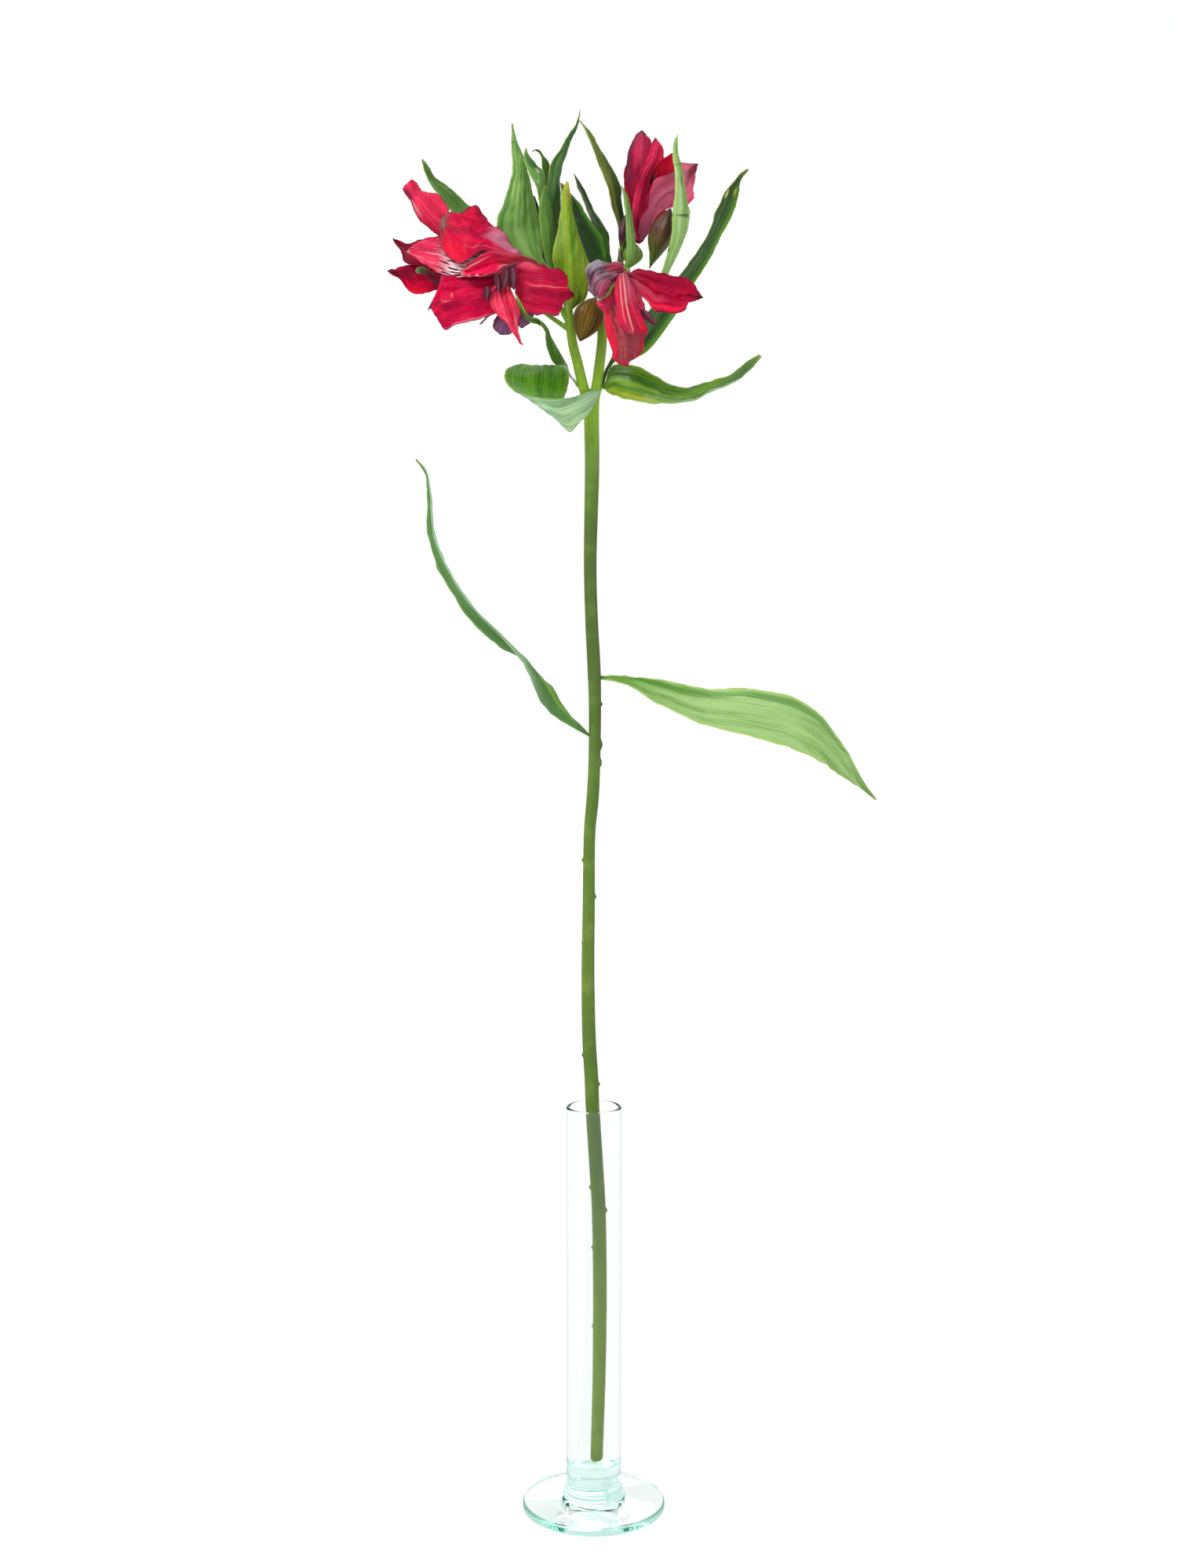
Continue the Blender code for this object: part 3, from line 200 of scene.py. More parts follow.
# %% Plant tissue: fibres and long parallel veins under a waxy or velvety surface
def plant_skin(name, deep, light, vein, edge, tip, base, rough=0.42, veins=22.0, vein_show=0.35,
               glow=0.3, edge_width=0.04, tip_from=0.94, base_to=0.1, bump=0.4, mottle=0.4, shine=0.35):
    """Thin plant tissue: fibres and veins along the blade, its margin, tip and base in other colours.

    glow is the share of light that comes through from behind. Returns the material's tree, the
    sockets that a flower's markings are painted with, and two functions: paint and finish.
    """
    look, tree = new_material(name)
    blade_map = add(tree, "ShaderNodeUVMap", uv_map="blade").outputs[0]
    axes = add(tree, "ShaderNodeSeparateXYZ", {0: blade_map})
    u, w = axes.outputs["X"], axes.outputs["Y"]
    span = add(tree, "ShaderNodeUVMap", uv_map="span").outputs[0]
    # fibres about 0.5 mm wide and 15 mm long
    fibre = cloud(tree, span, detail=4.0, stretch=(0.07, 1.9, 1.0), Roughness=0.62)
    # blotches some 9 mm across where the tissue is thicker or ages
    place = add(tree, "ShaderNodeTexCoord").outputs["Object"]
    blotch = cloud(tree, place, 110.0, 3.0, Roughness=0.55)
    # veins at equal shares of the width, led a little astray by the blotches
    drift = maths(tree, "MULTIPLY", blotch, 0.8)
    count = maths(tree, "MULTIPLY_ADD", w, veins, drift)
    line = remap(tree, maths(tree, "PINGPONG", count, 0.5), 0.0, 0.2, 1.0, 0.0)
    # painted light and shade of the blade's ribs and folds: soft lighter and darker bands some 4 mm wide and
    # 50 mm long
    fold_shade_band = cloud(tree, span, stretch=(0.02, 0.28, 1.0), shift=(2.3, 5.1, 0.0))
    fibre_and_shade_bands = maths(tree, "MULTIPLY_ADD", fold_shade_band, 0.55, maths(tree, "MULTIPLY", fibre, 0.45))
    # the colour runs from deep to light with the fibres and the painted shade bands
    body = layer(tree, remap(tree, fibre_and_shade_bands, 0.38, 0.62), deep, light)
    body = layer(tree, remap(tree, blotch, 0.42, 0.66, 0.0, mottle), body, light)
    body = layer(tree, maths(tree, "MULTIPLY", line, vein_show), body, vein)
    # distance from the nearer margin, from 0 to 0.5, made uneven by the blotches
    off = maths(tree, "PINGPONG", w, 0.5)
    uneven_off = maths(tree, "MULTIPLY_ADD", blotch, -0.5 * edge_width, off)
    margin = remap(tree, uneven_off, -0.2 * edge_width, edge_width, 0.85, 0.0)
    uneven_u = maths(tree, "MULTIPLY_ADD", blotch, 0.12, u)
    end = remap(tree, uneven_u, tip_from + 0.05, 1.06, 0.0, 0.9)
    start = remap(tree, u, 0.0, base_to, 0.9, 0.0)
    painted = [body]

    def paint(share, colour):
        """Lay one more colour over the skin where share is high."""
        painted.append(layer(tree, share, painted[-1], colour))

    def spot(along_it, across_it, long, wide, colour, share=0.9):
        """Paint an uneven patch at a place on the blade. All four numbers are shares of the blade."""
        near = add(tree, "ShaderNodeMapping", {"Vector": blade_map, "Scale": (1 / long, 1 / wide, 0.0),
                                               "Location": (-along_it / long, -across_it / wide, 0.0)})
        reach = add(tree, "ShaderNodeVectorMath", {0: near.outputs[0]}, operation="LENGTH")
        uneven = maths(tree, "MULTIPLY_ADD", fibre_and_shade_bands, 2.4, reach.outputs["Value"])
        paint(remap(tree, uneven, 1.6, 2.3, share, 0.0), colour)

    def finish(spots=()):
        """Paint the spots, then join the colour to the shader."""
        for patch in spots:
            spot(*patch)
        raised = maths(tree, "MULTIPLY_ADD", line, 0.7, fibre)
        relief = add(tree, "ShaderNodeBump", {"Height": raised, "Strength": bump, "Distance": 0.12 * MM})
        gloss = remap(tree, fibre, 0.3, 0.7, rough - 0.07, rough + 0.09)
        skin = add(tree, "ShaderNodeBsdfPrincipled", {
            "Base Color": painted[-1], "IOR": 1.42, "Roughness": gloss, "Specular IOR Level": shine,
            "Normal": relief.outputs[0]})
        rich = add(tree, "ShaderNodeHueSaturation", {"Color": painted[-1], "Saturation": 1.12, "Value": 1.25})
        through = add(tree, "ShaderNodeBsdfTranslucent", {"Color": rich.outputs[0],
                                                          "Normal": relief.outputs[0]})
        both = add(tree, "ShaderNodeMixShader", {0: glow, 1: skin.outputs[0], 2: through.outputs[0]})
        add(tree, "ShaderNodeOutputMaterial", {"Surface": both.outputs[0]})
        return look

    paint(margin, edge)
    paint(end, tip)
    paint(start, base)
    sockets = {"u": u, "w": w, "span": span, "fibre": fibre, "blotch": blotch, "veins": count}
    return tree, sockets, paint, finish


def leaf_skin(name, deep, light, spots=(), **more):
    """A leaf's skin, with a pale margin and a dry tip."""
    kit = dict(vein="#c4d68c", edge="#b4c75c", tip="#a0924a", base="#9fb569", vein_show=0.13)
    kit.update(more)
    return plant_skin(name, deep, light, **kit)[-1](spots)


# %% Leaf skins for undersides and backs
# Cuticle over chlorophyll: satin, with veins that catch the light. Held against the light, leaf turns
# yellow green.
LEAF_MID = leaf_skin("mid green leaf skin", "#2f5f17", "#5f8c33", rough=0.42, glow=0.28)
LEAF_PALE = leaf_skin("pale leaf underside", "#5a8a3a", "#86b05a", rough=0.48, glow=0.3)
LEAF_BLUE = leaf_skin("blue grey leaf underside", "#578a54", "#b4d2a4", rough=0.4, glow=0.25,
                      edge="#7f9f4c", vein="#dcead0", vein_show=0.25)
LEAF_DEEP = leaf_skin("deep green leaf skin", "#1d4412", "#4a7a28", rough=0.4, glow=0.2, vein="#7fa050")
LEAF_SHADE = leaf_skin("shaded dark leaf skin", "#0f2a0d", "#2d561a", rough=0.42, glow=0.15,
                       tip="#5a4a30", edge="#6f9a30", vein="#56803a", vein_show=0.1)

# %% Leaf skins that one leaf has
BROAD_PALE = leaf_skin("pale leaf, folded at one margin", "#588a38", "#88b45c", rough=0.48, glow=0.3, spots=(
    (0.55, 0.08, 0.5, 0.08, "#3c7420", 0.7), (0.72, 0.3, 0.16, 0.05, "#3a6a24", 0.7),
    (0.25, 0.45, 0.25, 0.1, "#9cc070", 0.5), (0.84, 0.15, 0.012, 0.2, "#41502c", 0.7)))
MID_BROAD = leaf_skin("pale ribbed leaf", "#78a450", "#a2c680", rough=0.46, glow=0.3, base="#6f9f38",
                      vein="#d4e4b4", vein_show=0.25, veins=14.0, spots=(
    (0.16, 0.4, 0.2, 0.7, "#5f9020", 0.8), (0.3, 0.15, 0.2, 0.1, "#4f8424", 0.8),
    (0.62, 0.12, 0.3, 0.08, "#5c8c44", 0.7), (0.94, 0.7, 0.08, 0.4, "#5c8a48", 0.8)))
MID_SLIM = leaf_skin("slim leaf, dark along its fold", "#2c5c2c", "#5c8c48", rough=0.42, glow=0.22,
                     edge="#7ca850", edge_width=0.08, vein_show=0.1, spots=(
    # the pale grey green patch over one side of the upper half is a painted sheen
    (0.25, 0.7, 0.25, 0.2, "#7cac3c", 0.8), (0.7, 0.12, 0.4, 0.36, "#a4c4a4", 0.75)))
FRONT_YELLOW = leaf_skin("young yellow green leaf, bruised", "#4f7808", "#94b024", rough=0.42, glow=0.35,
                         tip="#c8b83c", tip_from=0.86, spots=(
    (0.16, 0.72, 0.14, 0.2, "#5c6a1c", 0.8), (0.22, 0.5, 0.1, 0.06, "#6c5a20", 0.6),
    (0.85, 0.45, 0.06, 0.16, "#c08a2c", 0.7), (0.62, 0.5, 0.2, 0.12, "#4c8408", 0.7)))
WHORL_BRIGHT = leaf_skin("glossy bright leaf", "#2c5f04", "#6a9a08", rough=0.28, glow=0.3, shine=0.55, spots=(
    # of these patches, the bright yellow green one down the middle is a painted highlight and the dark green
    # one is painted shade in the fold
    (0.3, 0.85, 0.3, 0.12, "#b4b41c", 0.7), (0.42, 0.3, 0.25, 0.12, "#2c5c10", 0.6),
    (0.8, 0.5, 0.24, 0.7, "#4c6c48", 0.8), (0.22, 0.45, 0.18, 0.1, "#9ccc50", 0.6)))
LOOP_FACE = leaf_skin("upper face of the looped leaf", "#3c800c", "#6caa1c", rough=0.4, glow=0.35,
                      vein="#2c5810", vein_show=0.5, veins=16.0)
TALL_WHORL = leaf_skin("dark leaf, dry near its tip", "#17380e", "#42692a", rough=0.33, glow=0.15, shine=0.5,
                       tip="#8c8c34", tip_from=0.9, edge="#86b030", vein="#6c9450", vein_show=0.1, spots=(
    # the grey green streak is a painted sheen
    (0.5, 0.9, 0.5, 0.12, "#5c9418", 0.85), (0.6, 0.35, 0.35, 0.08, "#6c7c64", 0.6),
    (0.79, 0.25, 0.02, 0.1, "#e4dc8c", 0.9), (0.8, 0.8, 0.03, 0.1, "#c8c850", 0.8),
    (0.84, 0.6, 0.06, 0.2, "#3c4c20", 0.7)))
TALL_ARCH = leaf_skin("olive leaf, dark along its upper side", "#4c6c0c", "#82942a", rough=0.4, glow=0.3,
                      tip="#8c8c40", spots=(
    (0.45, 0.9, 0.5, 0.3, "#1c4c1c", 0.9), (0.2, 0.6, 0.2, 0.3, "#3c4c0c", 0.6),
    (0.05, 0.5, 0.12, 0.8, "#5c2030", 0.7)))
PALE_RIGHT = leaf_skin("pale leaf with dark creases across", "#6c9e48", "#b2d28a", rough=0.45, glow=0.3,
                       tip="#b0b058", spots=(
    (0.52, 0.5, 0.008, 0.55, "#2c5024", 0.8), (0.74, 0.4, 0.006, 0.6, "#2c5024", 0.8),
    (0.4, 1.0, 0.006, 0.3, "#33502c", 0.8), (0.36, 0.0, 0.02, 0.12, "#33502c", 0.8),
    (0.66, 0.5, 0.03, 0.14, "#4c6c64", 0.7), (0.3, 0.2, 0.3, 0.12, "#7cb83c", 0.7),
    (0.76, 0.5, 0.22, 0.5, "#7c9c40", 0.5)))
CURL = leaf_skin("curled leaf with pale spots", "#3c6c24", "#6c9c4c", rough=0.42, glow=0.25, spots=(
    (0.7, 0.6, 0.03, 0.12, "#dcdca0", 0.9), (0.6, 0.3, 0.03, 0.1, "#d4dc94", 0.8),
    (0.8, 0.5, 0.12, 0.4, "#2c5828", 0.7)))
TALL_DARK = leaf_skin("tall leaf with a purple margin", "#2c5c2c", "#5f8f4c", rough=0.42, glow=0.25,
                      tip="#8c9c50", spots=(
    (0.3, 0.35, 0.14, 0.1, "#5c3c4c", 0.6), (0.3, 0.5, 0.1, 0.06, "#9cac50", 0.7),
    (0.7, 0.15, 0.3, 0.14, "#1f4a1f", 0.7), (0.85, 0.8, 0.2, 0.2, "#7fa85c", 0.5)))
DARK_BROAD = leaf_skin("deep green leaf, bright at one margin", "#0f2c12", "#2c5420", rough=0.4, glow=0.15,
                       edge="#7fae30", vein="#4c7838", vein_show=0.12, spots=(
    (0.6, 0.95, 0.45, 0.16, "#4c8414", 0.85), (0.25, 0.8, 0.2, 0.2, "#3c6414", 0.7),
    (0.5, 0.2, 0.3, 0.2, "#34504c", 0.5)))
DARK_SLIM = leaf_skin("slim dark leaf with a purple margin", "#1c401c", "#3f6430", rough=0.4, glow=0.15,
                      tip="#5c4838", edge="#6c5c48", vein="#587848", vein_show=0.12, spots=(
    (0.75, 0.1, 0.25, 0.25, "#5c4438", 0.7), (0.4, 0.7, 0.2, 0.25, "#4c7420", 0.7)))
TWIST = leaf_skin("twisted leaf", "#3c7414", "#6fa038", rough=0.38, glow=0.3, spots=(
    (0.8, 0.5, 0.12, 0.5, "#6c8420", 0.7), (0.45, 0.2, 0.25, 0.3, "#2c6420", 0.6)))
print("leaf skins made")

# %% [markdown]
# ## Petal skins
# A fresh petal is velvety: tiny domed cells scatter light, so it is satin with a soft sheen. These
# flowers are a few days old. Their margins have dried to purple and brown and the flesh has creased,
# and the light on the crests of the creases is painted into the colour as bright lines. The inner
# petals carry a pale throat patch crossed by short near-black guide lines.

# %% A skin for a petal, with its throat, guide lines and painted highlights on its creases
def petal_skin(name, deep, light, patch=None, streak=None, crest_highlight="#e2587a", creases=0.12, spots=(), **more):
    """Crimson tissue. patch is where the pale throat starts and ends along the petal; streak is a
    pale scar's place across it."""
    kit = dict(vein="#7a0428", edge="#5e0c28", tip="#4d1028", base="#b9607a", rough=0.5, veins=18.0,
               vein_show=0.22, glow=0.2, base_to=0.3, tip_from=0.92, bump=0.45, shine=0.12)
    kit.update(more)
    tree, sockets, paint, finish = plant_skin(name, deep, light, **kit)
    u, span = sockets["u"], sockets["span"]
    # painted highlight on the creases where the flesh has folded: bright crests about 0.4 mm wide and 15 mm
    # long
    crest = cloud(tree, span, detail=5.0, stretch=(0.06, 0.7, 1.0), Roughness=0.6, Distortion=0.6)
    fold = maths(tree, "ABSOLUTE", maths(tree, "SUBTRACT", crest, 0.5))
    paint(remap(tree, fold, 0.0, 0.025, creases, 0.0), crest_highlight)
    if patch:
        first, last = patch
        rise = remap(tree, u, first - 0.08, first + 0.04, interpolation_type="SMOOTHSTEP")
        fall = remap(tree, u, last - 0.1, last + 0.1, 1.0, 0.0, interpolation_type="SMOOTHSTEP")
        torn = remap(tree, sockets["fibre"], 0.3, 0.6, 0.6, 1.0)
        paint(maths(tree, "MULTIPLY", maths(tree, "MULTIPLY", rise, fall), torn), "#f7dfe2")
        # guide lines lie on the veins, broken into dashes 3 to 5 mm long
        gap = cloud(tree, span, detail=1.0, stretch=(0.2, 0.6, 1.0), shift=(3.1, 1.7, 0.0))
        drawn = remap(tree, gap, 0.45, 0.5)
        thick = remap(tree, maths(tree, "PINGPONG", sockets["veins"], 0.5), 0.23, 0.31, 0.95, 0.0)
        dash = maths(tree, "MULTIPLY", thick, drawn)
        dash = maths(tree, "MULTIPLY", dash, remap(tree, u, last + 0.02, last + 0.12, 1.0, 0.0))
        dash = maths(tree, "MULTIPLY", dash, remap(tree, u, first - 0.1, first))
        paint(dash, "#2b0a18")
    if streak is not None:
        bend = maths(tree, "MULTIPLY_ADD", sockets["blotch"], 0.12, sockets["w"])
        aside = maths(tree, "ABSOLUTE", maths(tree, "SUBTRACT", bend, streak + 0.06))
        scar = remap(tree, aside, 0.002, 0.018, 0.65, 0.0)
        paint(maths(tree, "MULTIPLY", scar, remap(tree, u, 0.35, 0.5)), "#e08c80")
    return finish(spots)


# %% Backs and plain skins of petals
PETAL_BACK = petal_skin("dull petal back", "#7a1030", "#a82c4c", base="#7f7048", base_to=0.35,
                        crest_highlight="#c8708c")
CRIMSON = petal_skin("crimson petal face", "#8c002c", "#c40038")
DUSKY = petal_skin("dusky pink petal back", "#8c1c44", "#c8587c", vein="#7a1c44", edge="#641638",
                   tip="#b01040", base="#781c44", crest_highlight="#e090a8", veins=24.0, mottle=0.3)
WINE = petal_skin("dark wine petal back", "#780824", "#b41440", vein="#44041c", edge="#401020",
                  tip="#30202a", tip_from=0.85, base="#6a1c38")
MAUVE = petal_skin("mauve withered petal", "#5c2448", "#9c6a90", vein="#3c1030", edge="#801038",
                   tip="#6c0c30", base="#7a5670", crest_highlight="#b48ca8", glow=0.2)
WITHERED = petal_skin("withered grey purple petal", "#44202e", "#947080", vein="#200814", vein_show=0.5,
                      edge="#a08c94", tip="#6c5660", base="#8c2440", crest_highlight="#a48c96", creases=0.6,
                      rough=0.6, glow=0.06, edge_width=0.06, spots=(
                          (0.28, 0.3, 0.2, 0.35, "#a81c3c", 0.8), (0.35, 0.85, 0.25, 0.2, "#8c0c30", 0.8),
                          (0.6, 0.85, 0.25, 0.25, "#a4204c", 0.7), (0.75, 0.45, 0.16, 0.2, "#7c2c48", 0.6),
                          (0.5, 0.35, 0.12, 0.12, "#4c3440", 0.7), (0.72, 0.15, 0.1, 0.1, "#54303c", 0.7),
                          (0.88, 0.9, 0.1, 0.3, "#a8906c", 0.7), (0.55, 0.1, 0.15, 0.1, "#94909c", 0.7),
                          (0.93, 0.3, 0.06, 0.3, "#9c1c3c", 0.8)))
print("petal backs made")

# %% Faces of the front flower's petals
FRONT_TOP = petal_skin(
    "crimson petal, rose at the throat, dried grey at the tip", "#8c002c", "#d8083e", base="#b0607c",
    base_to=0.3, edge="#5a1530", tip="#5c4a48", tip_from=0.88, spots=(
        # the first patch, rose near the throat, is partly the petal's own colour and partly a painted sheen
        (0.34, 0.72, 0.2, 0.38, "#c77f9c", 0.85), (0.3, 0.25, 0.12, 0.3, "#b05068", 0.5),
        (0.8, 0.16, 0.16, 0.22, "#e41838", 0.7), (0.97, 0.75, 0.06, 0.4, "#75665c", 0.9),
        (0.62, 0.9, 0.08, 0.12, "#7c1030", 0.7), (0.5, 0.3, 0.2, 0.04, "#d84a6c", 0.6)))
FRONT_STRIPED = petal_skin(
    "petal with pale throat and guide lines", "#b00438", "#ec305c", patch=(0.42, 0.62),
    veins=11.0, base="#b05a70", base_to=0.3, tip="#c8a093", creases=0.3, crest_highlight="#f0a0b0", spots=(
        (0.85, 0.2, 0.2, 0.03, "#e8b0a8", 0.8), (0.7, 0.5, 0.16, 0.025, "#f0b4bc", 0.7)))
FRONT_FOLD = petal_skin(
    "folded petal, dry at its margins", "#bc0438", "#ec104c", edge="#c87078", edge_width=0.03,
    base="#94424c", base_to=0.7, tip="#c8988c", spots=(
        (0.1, 0.5, 0.16, 0.6, "#86663c", 0.6), (0.45, 0.1, 0.1, 0.14, "#c88c84", 0.6),
        (0.66, 0.45, 0.28, 0.34, "#dc104a", 0.9), (0.84, 0.93, 0.14, 0.03, "#50101c", 0.9),
        (0.8, 0.8, 0.16, 0.04, "#e8c0b4", 0.7), (0.82, 0.12, 0.04, 0.07, "#2b0a18", 0.9),
        (0.9, 0.1, 0.02, 0.08, "#2b0a18", 0.9), (0.74, 0.08, 0.02, 0.06, "#2b0a18", 0.9),
        (0.86, 0.14, 0.02, 0.05, "#f0c8cc", 0.9), (0.78, 0.1, 0.015, 0.06, "#f0c8cc", 0.9)))
FRONT_LOW = petal_skin(
    "crimson petal with a cracked corner", "#940030", "#d80040", spots=(
        (0.62, 0.4, 0.012, 0.07, "#d89a7c", 0.8), (0.68, 0.5, 0.07, 0.012, "#d07a70", 0.8),
        (0.95, 0.7, 0.06, 0.4, "#3a2c38", 0.9), (0.84, 0.0, 0.14, 0.12, "#d84068", 0.7),
        # the long pale pink patch along one margin is a painted highlight
        (0.52, 0.97, 0.2, 0.035, "#e8748c", 0.8), (0.2, 0.5, 0.15, 0.5, "#700824", 0.8)))
FRONT_RIGHT = petal_skin(
    "crimson petal with a dry scar", "#84002a", "#c4083a", streak=0.42, tip="#3c0f2c", tip_from=0.84,
    veins=16.0, spots=((0.93, 0.45, 0.07, 0.4, "#3a1030", 0.9), (0.4, 0.05, 0.12, 0.12, "#e0506c", 0.6),
                       (0.3, 0.6, 0.05, 0.5, "#d82048", 0.6), (0.6, 1.0, 0.2, 0.05, "#8c4050", 0.7),
                       (0.82, 0.05, 0.1, 0.1, "#c83058", 0.6)))
FRONT_INNER = petal_skin(
    "bright scarlet petal, ridged", "#b80430", "#f43c60", tip="#5a0f2c", creases=0.5, crest_highlight="#f07a8c",
    spots=((0.62, 0.3, 0.12, 0.1, "#f0808c", 0.8), (0.66, 0.8, 0.12, 0.1, "#ee6a78", 0.8),
           (0.35, 0.8, 0.1, 0.15, "#e83c48", 0.6), (0.3, 0.3, 0.12, 0.3, "#8c0428", 0.7)))
print("front flower's skins made")

# %% Faces of the other flowers' petals
RIGHT_STRIPED = petal_skin(
    "pink petal with cream and brown stripes", "#a80830", "#d42050", base="#a85864", base_to=0.2,
    tip="#b80c34", crest_highlight="#e89ca8", creases=0.2, spots=(
        (0.25, 0.6, 0.25, 0.4, "#b4566a", 0.8), (0.4, 0.27, 0.34, 0.03, "#d09c84", 0.9),
        (0.4, 0.22, 0.34, 0.02, "#6c2430", 0.8), (0.46, 0.47, 0.4, 0.03, "#d0a08c", 0.9),
        (0.46, 0.41, 0.36, 0.025, "#68202c", 0.8), (0.97, 0.5, 0.03, 0.3, "#f0d4cc", 0.9),
        (0.75, 0.85, 0.2, 0.14, "#dc0838", 0.8), (0.6, 0.1, 0.25, 0.12, "#d8103c", 0.7)))
RIGHT_LOW = petal_skin(
    "petal bruised brown pink, red at the margin", "#8c1830", "#a8404c", edge="#c00830", tip="#b4042c",
    base="#b03050", vein="#641020", edge_width=0.12, creases=0.35, crest_highlight="#d89a8c", spots=(
        (0.5, 0.05, 0.4, 0.2, "#d4143c", 0.85), (0.55, 0.55, 0.2, 0.3, "#8c3c44", 0.7),
        (0.84, 0.62, 0.025, 0.25, "#b08c7c", 0.6), (0.4, 0.95, 0.1, 0.12, "#e00838", 0.9),
        (0.9, 0.3, 0.12, 0.4, "#c8083a", 0.8)))
RIGHT_SIDE = petal_skin(
    "crimson petal folded along its middle", "#8c002a", "#c00438", tip="#3c1024", tip_from=0.86,
    spots=((0.5, 0.2, 0.42, 0.24, "#90042c", 0.85), (0.5, 0.47, 0.45, 0.035, "#70041c", 0.7),
           (0.3, 0.65, 0.2, 0.16, "#b84058", 0.7), (0.55, 0.88, 0.3, 0.1, "#e41c40", 0.8),
           (0.96, 0.5, 0.05, 0.5, "#40202c", 0.9), (0.3, 0.98, 0.12, 0.04, "#c8a0a0", 0.8)))
RIGHT_FLAP = petal_skin("pinkish red petal margin", "#b80838", "#e4365c", creases=0.4, crest_highlight="#f08c9c",
                        edge="#c81c44")
TOP_LEFT = petal_skin(
    "crimson petal back with a dark margin", "#740428", "#a0143c", vein="#600820", edge="#4c1c30",
    tip="#503440", tip_from=0.86, base="#8c2444", spots=(
        (0.6, 0.02, 0.4, 0.16, "#5c2038", 0.85), (0.72, 0.45, 0.16, 0.25, "#d0305c", 0.6),
        (0.42, 0.9, 0.14, 0.12, "#8c5a44", 0.6), (0.86, 0.3, 0.12, 0.3, "#94405c", 0.7),
        (0.15, 0.15, 0.15, 0.2, "#e04464", 0.8)))
TOP_KEEL = petal_skin(
    "keeled petal back, wine at the keel", "#94042e", "#d0204c", vein="#4c041c", vein_show=0.5, veins=9.0,
    edge="#701030", tip="#581028", base="#8c2848", spots=(
        (0.6, 0.42, 0.36, 0.05, "#50041c", 0.85), (0.8, 0.8, 0.14, 0.18, "#e42048", 0.8),
        (0.3, 0.2, 0.3, 0.1, "#e06078", 0.8), (0.35, 0.85, 0.3, 0.1, "#6c0424", 0.7)))
TOP_RIGHT = petal_skin(
    "dusky pink petal back with a dark corner", "#c03a62", "#ee7c9c", vein="#8c2048", veins=22.0,
    edge="#d01c48", edge_width=0.03, tip="#4c2030", tip_from=0.88, base="#5c1c3c", spots=(
        (0.9, 0.7, 0.16, 0.5, "#782438", 0.85), (0.55, 0.95, 0.3, 0.1, "#e83c64", 0.8),
        (0.45, 0.5, 0.25, 0.05, "#90405c", 0.6), (0.78, 0.4, 0.06, 0.3, "#88604c", 0.5),
        (0.28, 0.0, 0.25, 0.06, "#f02c5c", 0.8)))
TOP_INNER = petal_skin("bright red petal face", "#b80028", "#d80838", edge="#8c0424", creases=0.05)
LEFT_UP = petal_skin(
    "light crimson petal, folded at the tip", "#c41038", "#f43c64", edge="#5c1428", edge_width=0.03,
    tip="#7c1430", tip_from=0.97, base="#c83c5c", spots=(
        (0.8, 0.12, 0.2, 0.36, "#780828", 0.9), (0.5, 0.35, 0.3, 0.035, "#8c1838", 0.6),
        (0.6, 0.12, 0.12, 0.08, "#e8a0a0", 0.6)))
LEFT_MID = petal_skin(
    "crimson petal, dusky towards the tip", "#740424", "#901430", edge="#4c1824", tip="#402028",
    tip_from=0.9, spots=((0.72, 0.4, 0.2, 0.3, "#94404c", 0.8), (0.5, 0.8, 0.2, 0.2, "#8c2438", 0.7)))
LEFT_LOW = petal_skin(
    "crimson petal with a dark spur", "#9c002e", "#cc0038", tip="#4c2c38", tip_from=0.8, spots=(
        (0.85, 0.6, 0.14, 0.4, "#5c1c34", 0.85), (0.55, 0.1, 0.2, 0.2, "#e40c30", 0.7),
        (0.6, 0.75, 0.14, 0.25, "#68102c", 0.7)))
LEAFY_TIP = petal_skin(
    "green tipped outer petal", "#7c1030", "#a03c54", vein="#4c1024", edge="#547a40", tip="#5c8a50",
    tip_from=0.6, base="#a03c5c", crest_highlight="#b47488", spots=((0.85, 0.5, 0.25, 0.6, "#5c7c54", 0.9),))
print("other petals' skins made")

# %% [markdown]
# ## One way to make every leaf and petal
# A blade is a flat grid of quads, moved so that it spans a smooth curve along its left edge and
# another along its right edge. Then it is dished, pleated along its veins, frilled at the margins and
# crumpled a little with noise, and Solidify gives it a thickness that thins towards the margins.

# %% Smooth curves through points
def along(points, t):
    """The place at t, from 0 to 1, on a smooth curve through the points."""
    spans = len(points) - 1
    here = min(int(t * spans), spans - 1)
    f = t * spans - here
    p1, p2 = points[here], points[here + 1]
    p0 = points[here - 1] if here > 0 else p1 * 2 - p2
    p3 = points[here + 2] if here + 2 <= spans else p2 * 2 - p1
    return ((p1 * 2) + (p2 - p0) * f + (p0 * 2 - p1 * 5 + p2 * 4 - p3) * f * f
            + (p1 * 3 - p0 - p2 * 3 + p3) * f * f * f) * 0.5


# %% From a bmesh to a finished piece
def mapped_bmesh():
    """An empty bmesh with the two map layers."""
    bm = bmesh.new()
    bm.loops.layers.uv.new("blade")
    bm.loops.layers.uv.new("span")
    return bm


def wrap(bm, spots, length, girth):
    """Fill both map layers of a round shape from each corner's shares along it and about it."""
    for face in bm.faces:
        shares = [spots[corner][1] for corner in face.verts]
        at_seam = max(shares) - min(shares) > 0.5
        for loop in face.loops:
            t, w = spots[loop.vert]
            if at_seam and w < 0.5:
                w += 1
            loop[bm.loops.layers.uv["blade"]].uv = (t, w)
            loop[bm.loops.layers.uv["span"]].uv = (t * length, w * girth)


def piece(name, bm, skins):
    """A scene object from a bmesh in millimetres."""
    bmesh.ops.scale(bm, vec=(MM, MM, MM), verts=bm.verts)
    mesh = bpy.data.meshes.new(name)
    bm.to_mesh(mesh)
    bm.free()
    for skin in skins:
        mesh.materials.append(skin)
    mesh.shade_smooth()
    made = bpy.data.objects.new(name, mesh)
    bpy.context.scene.collection.objects.link(made)
    return made


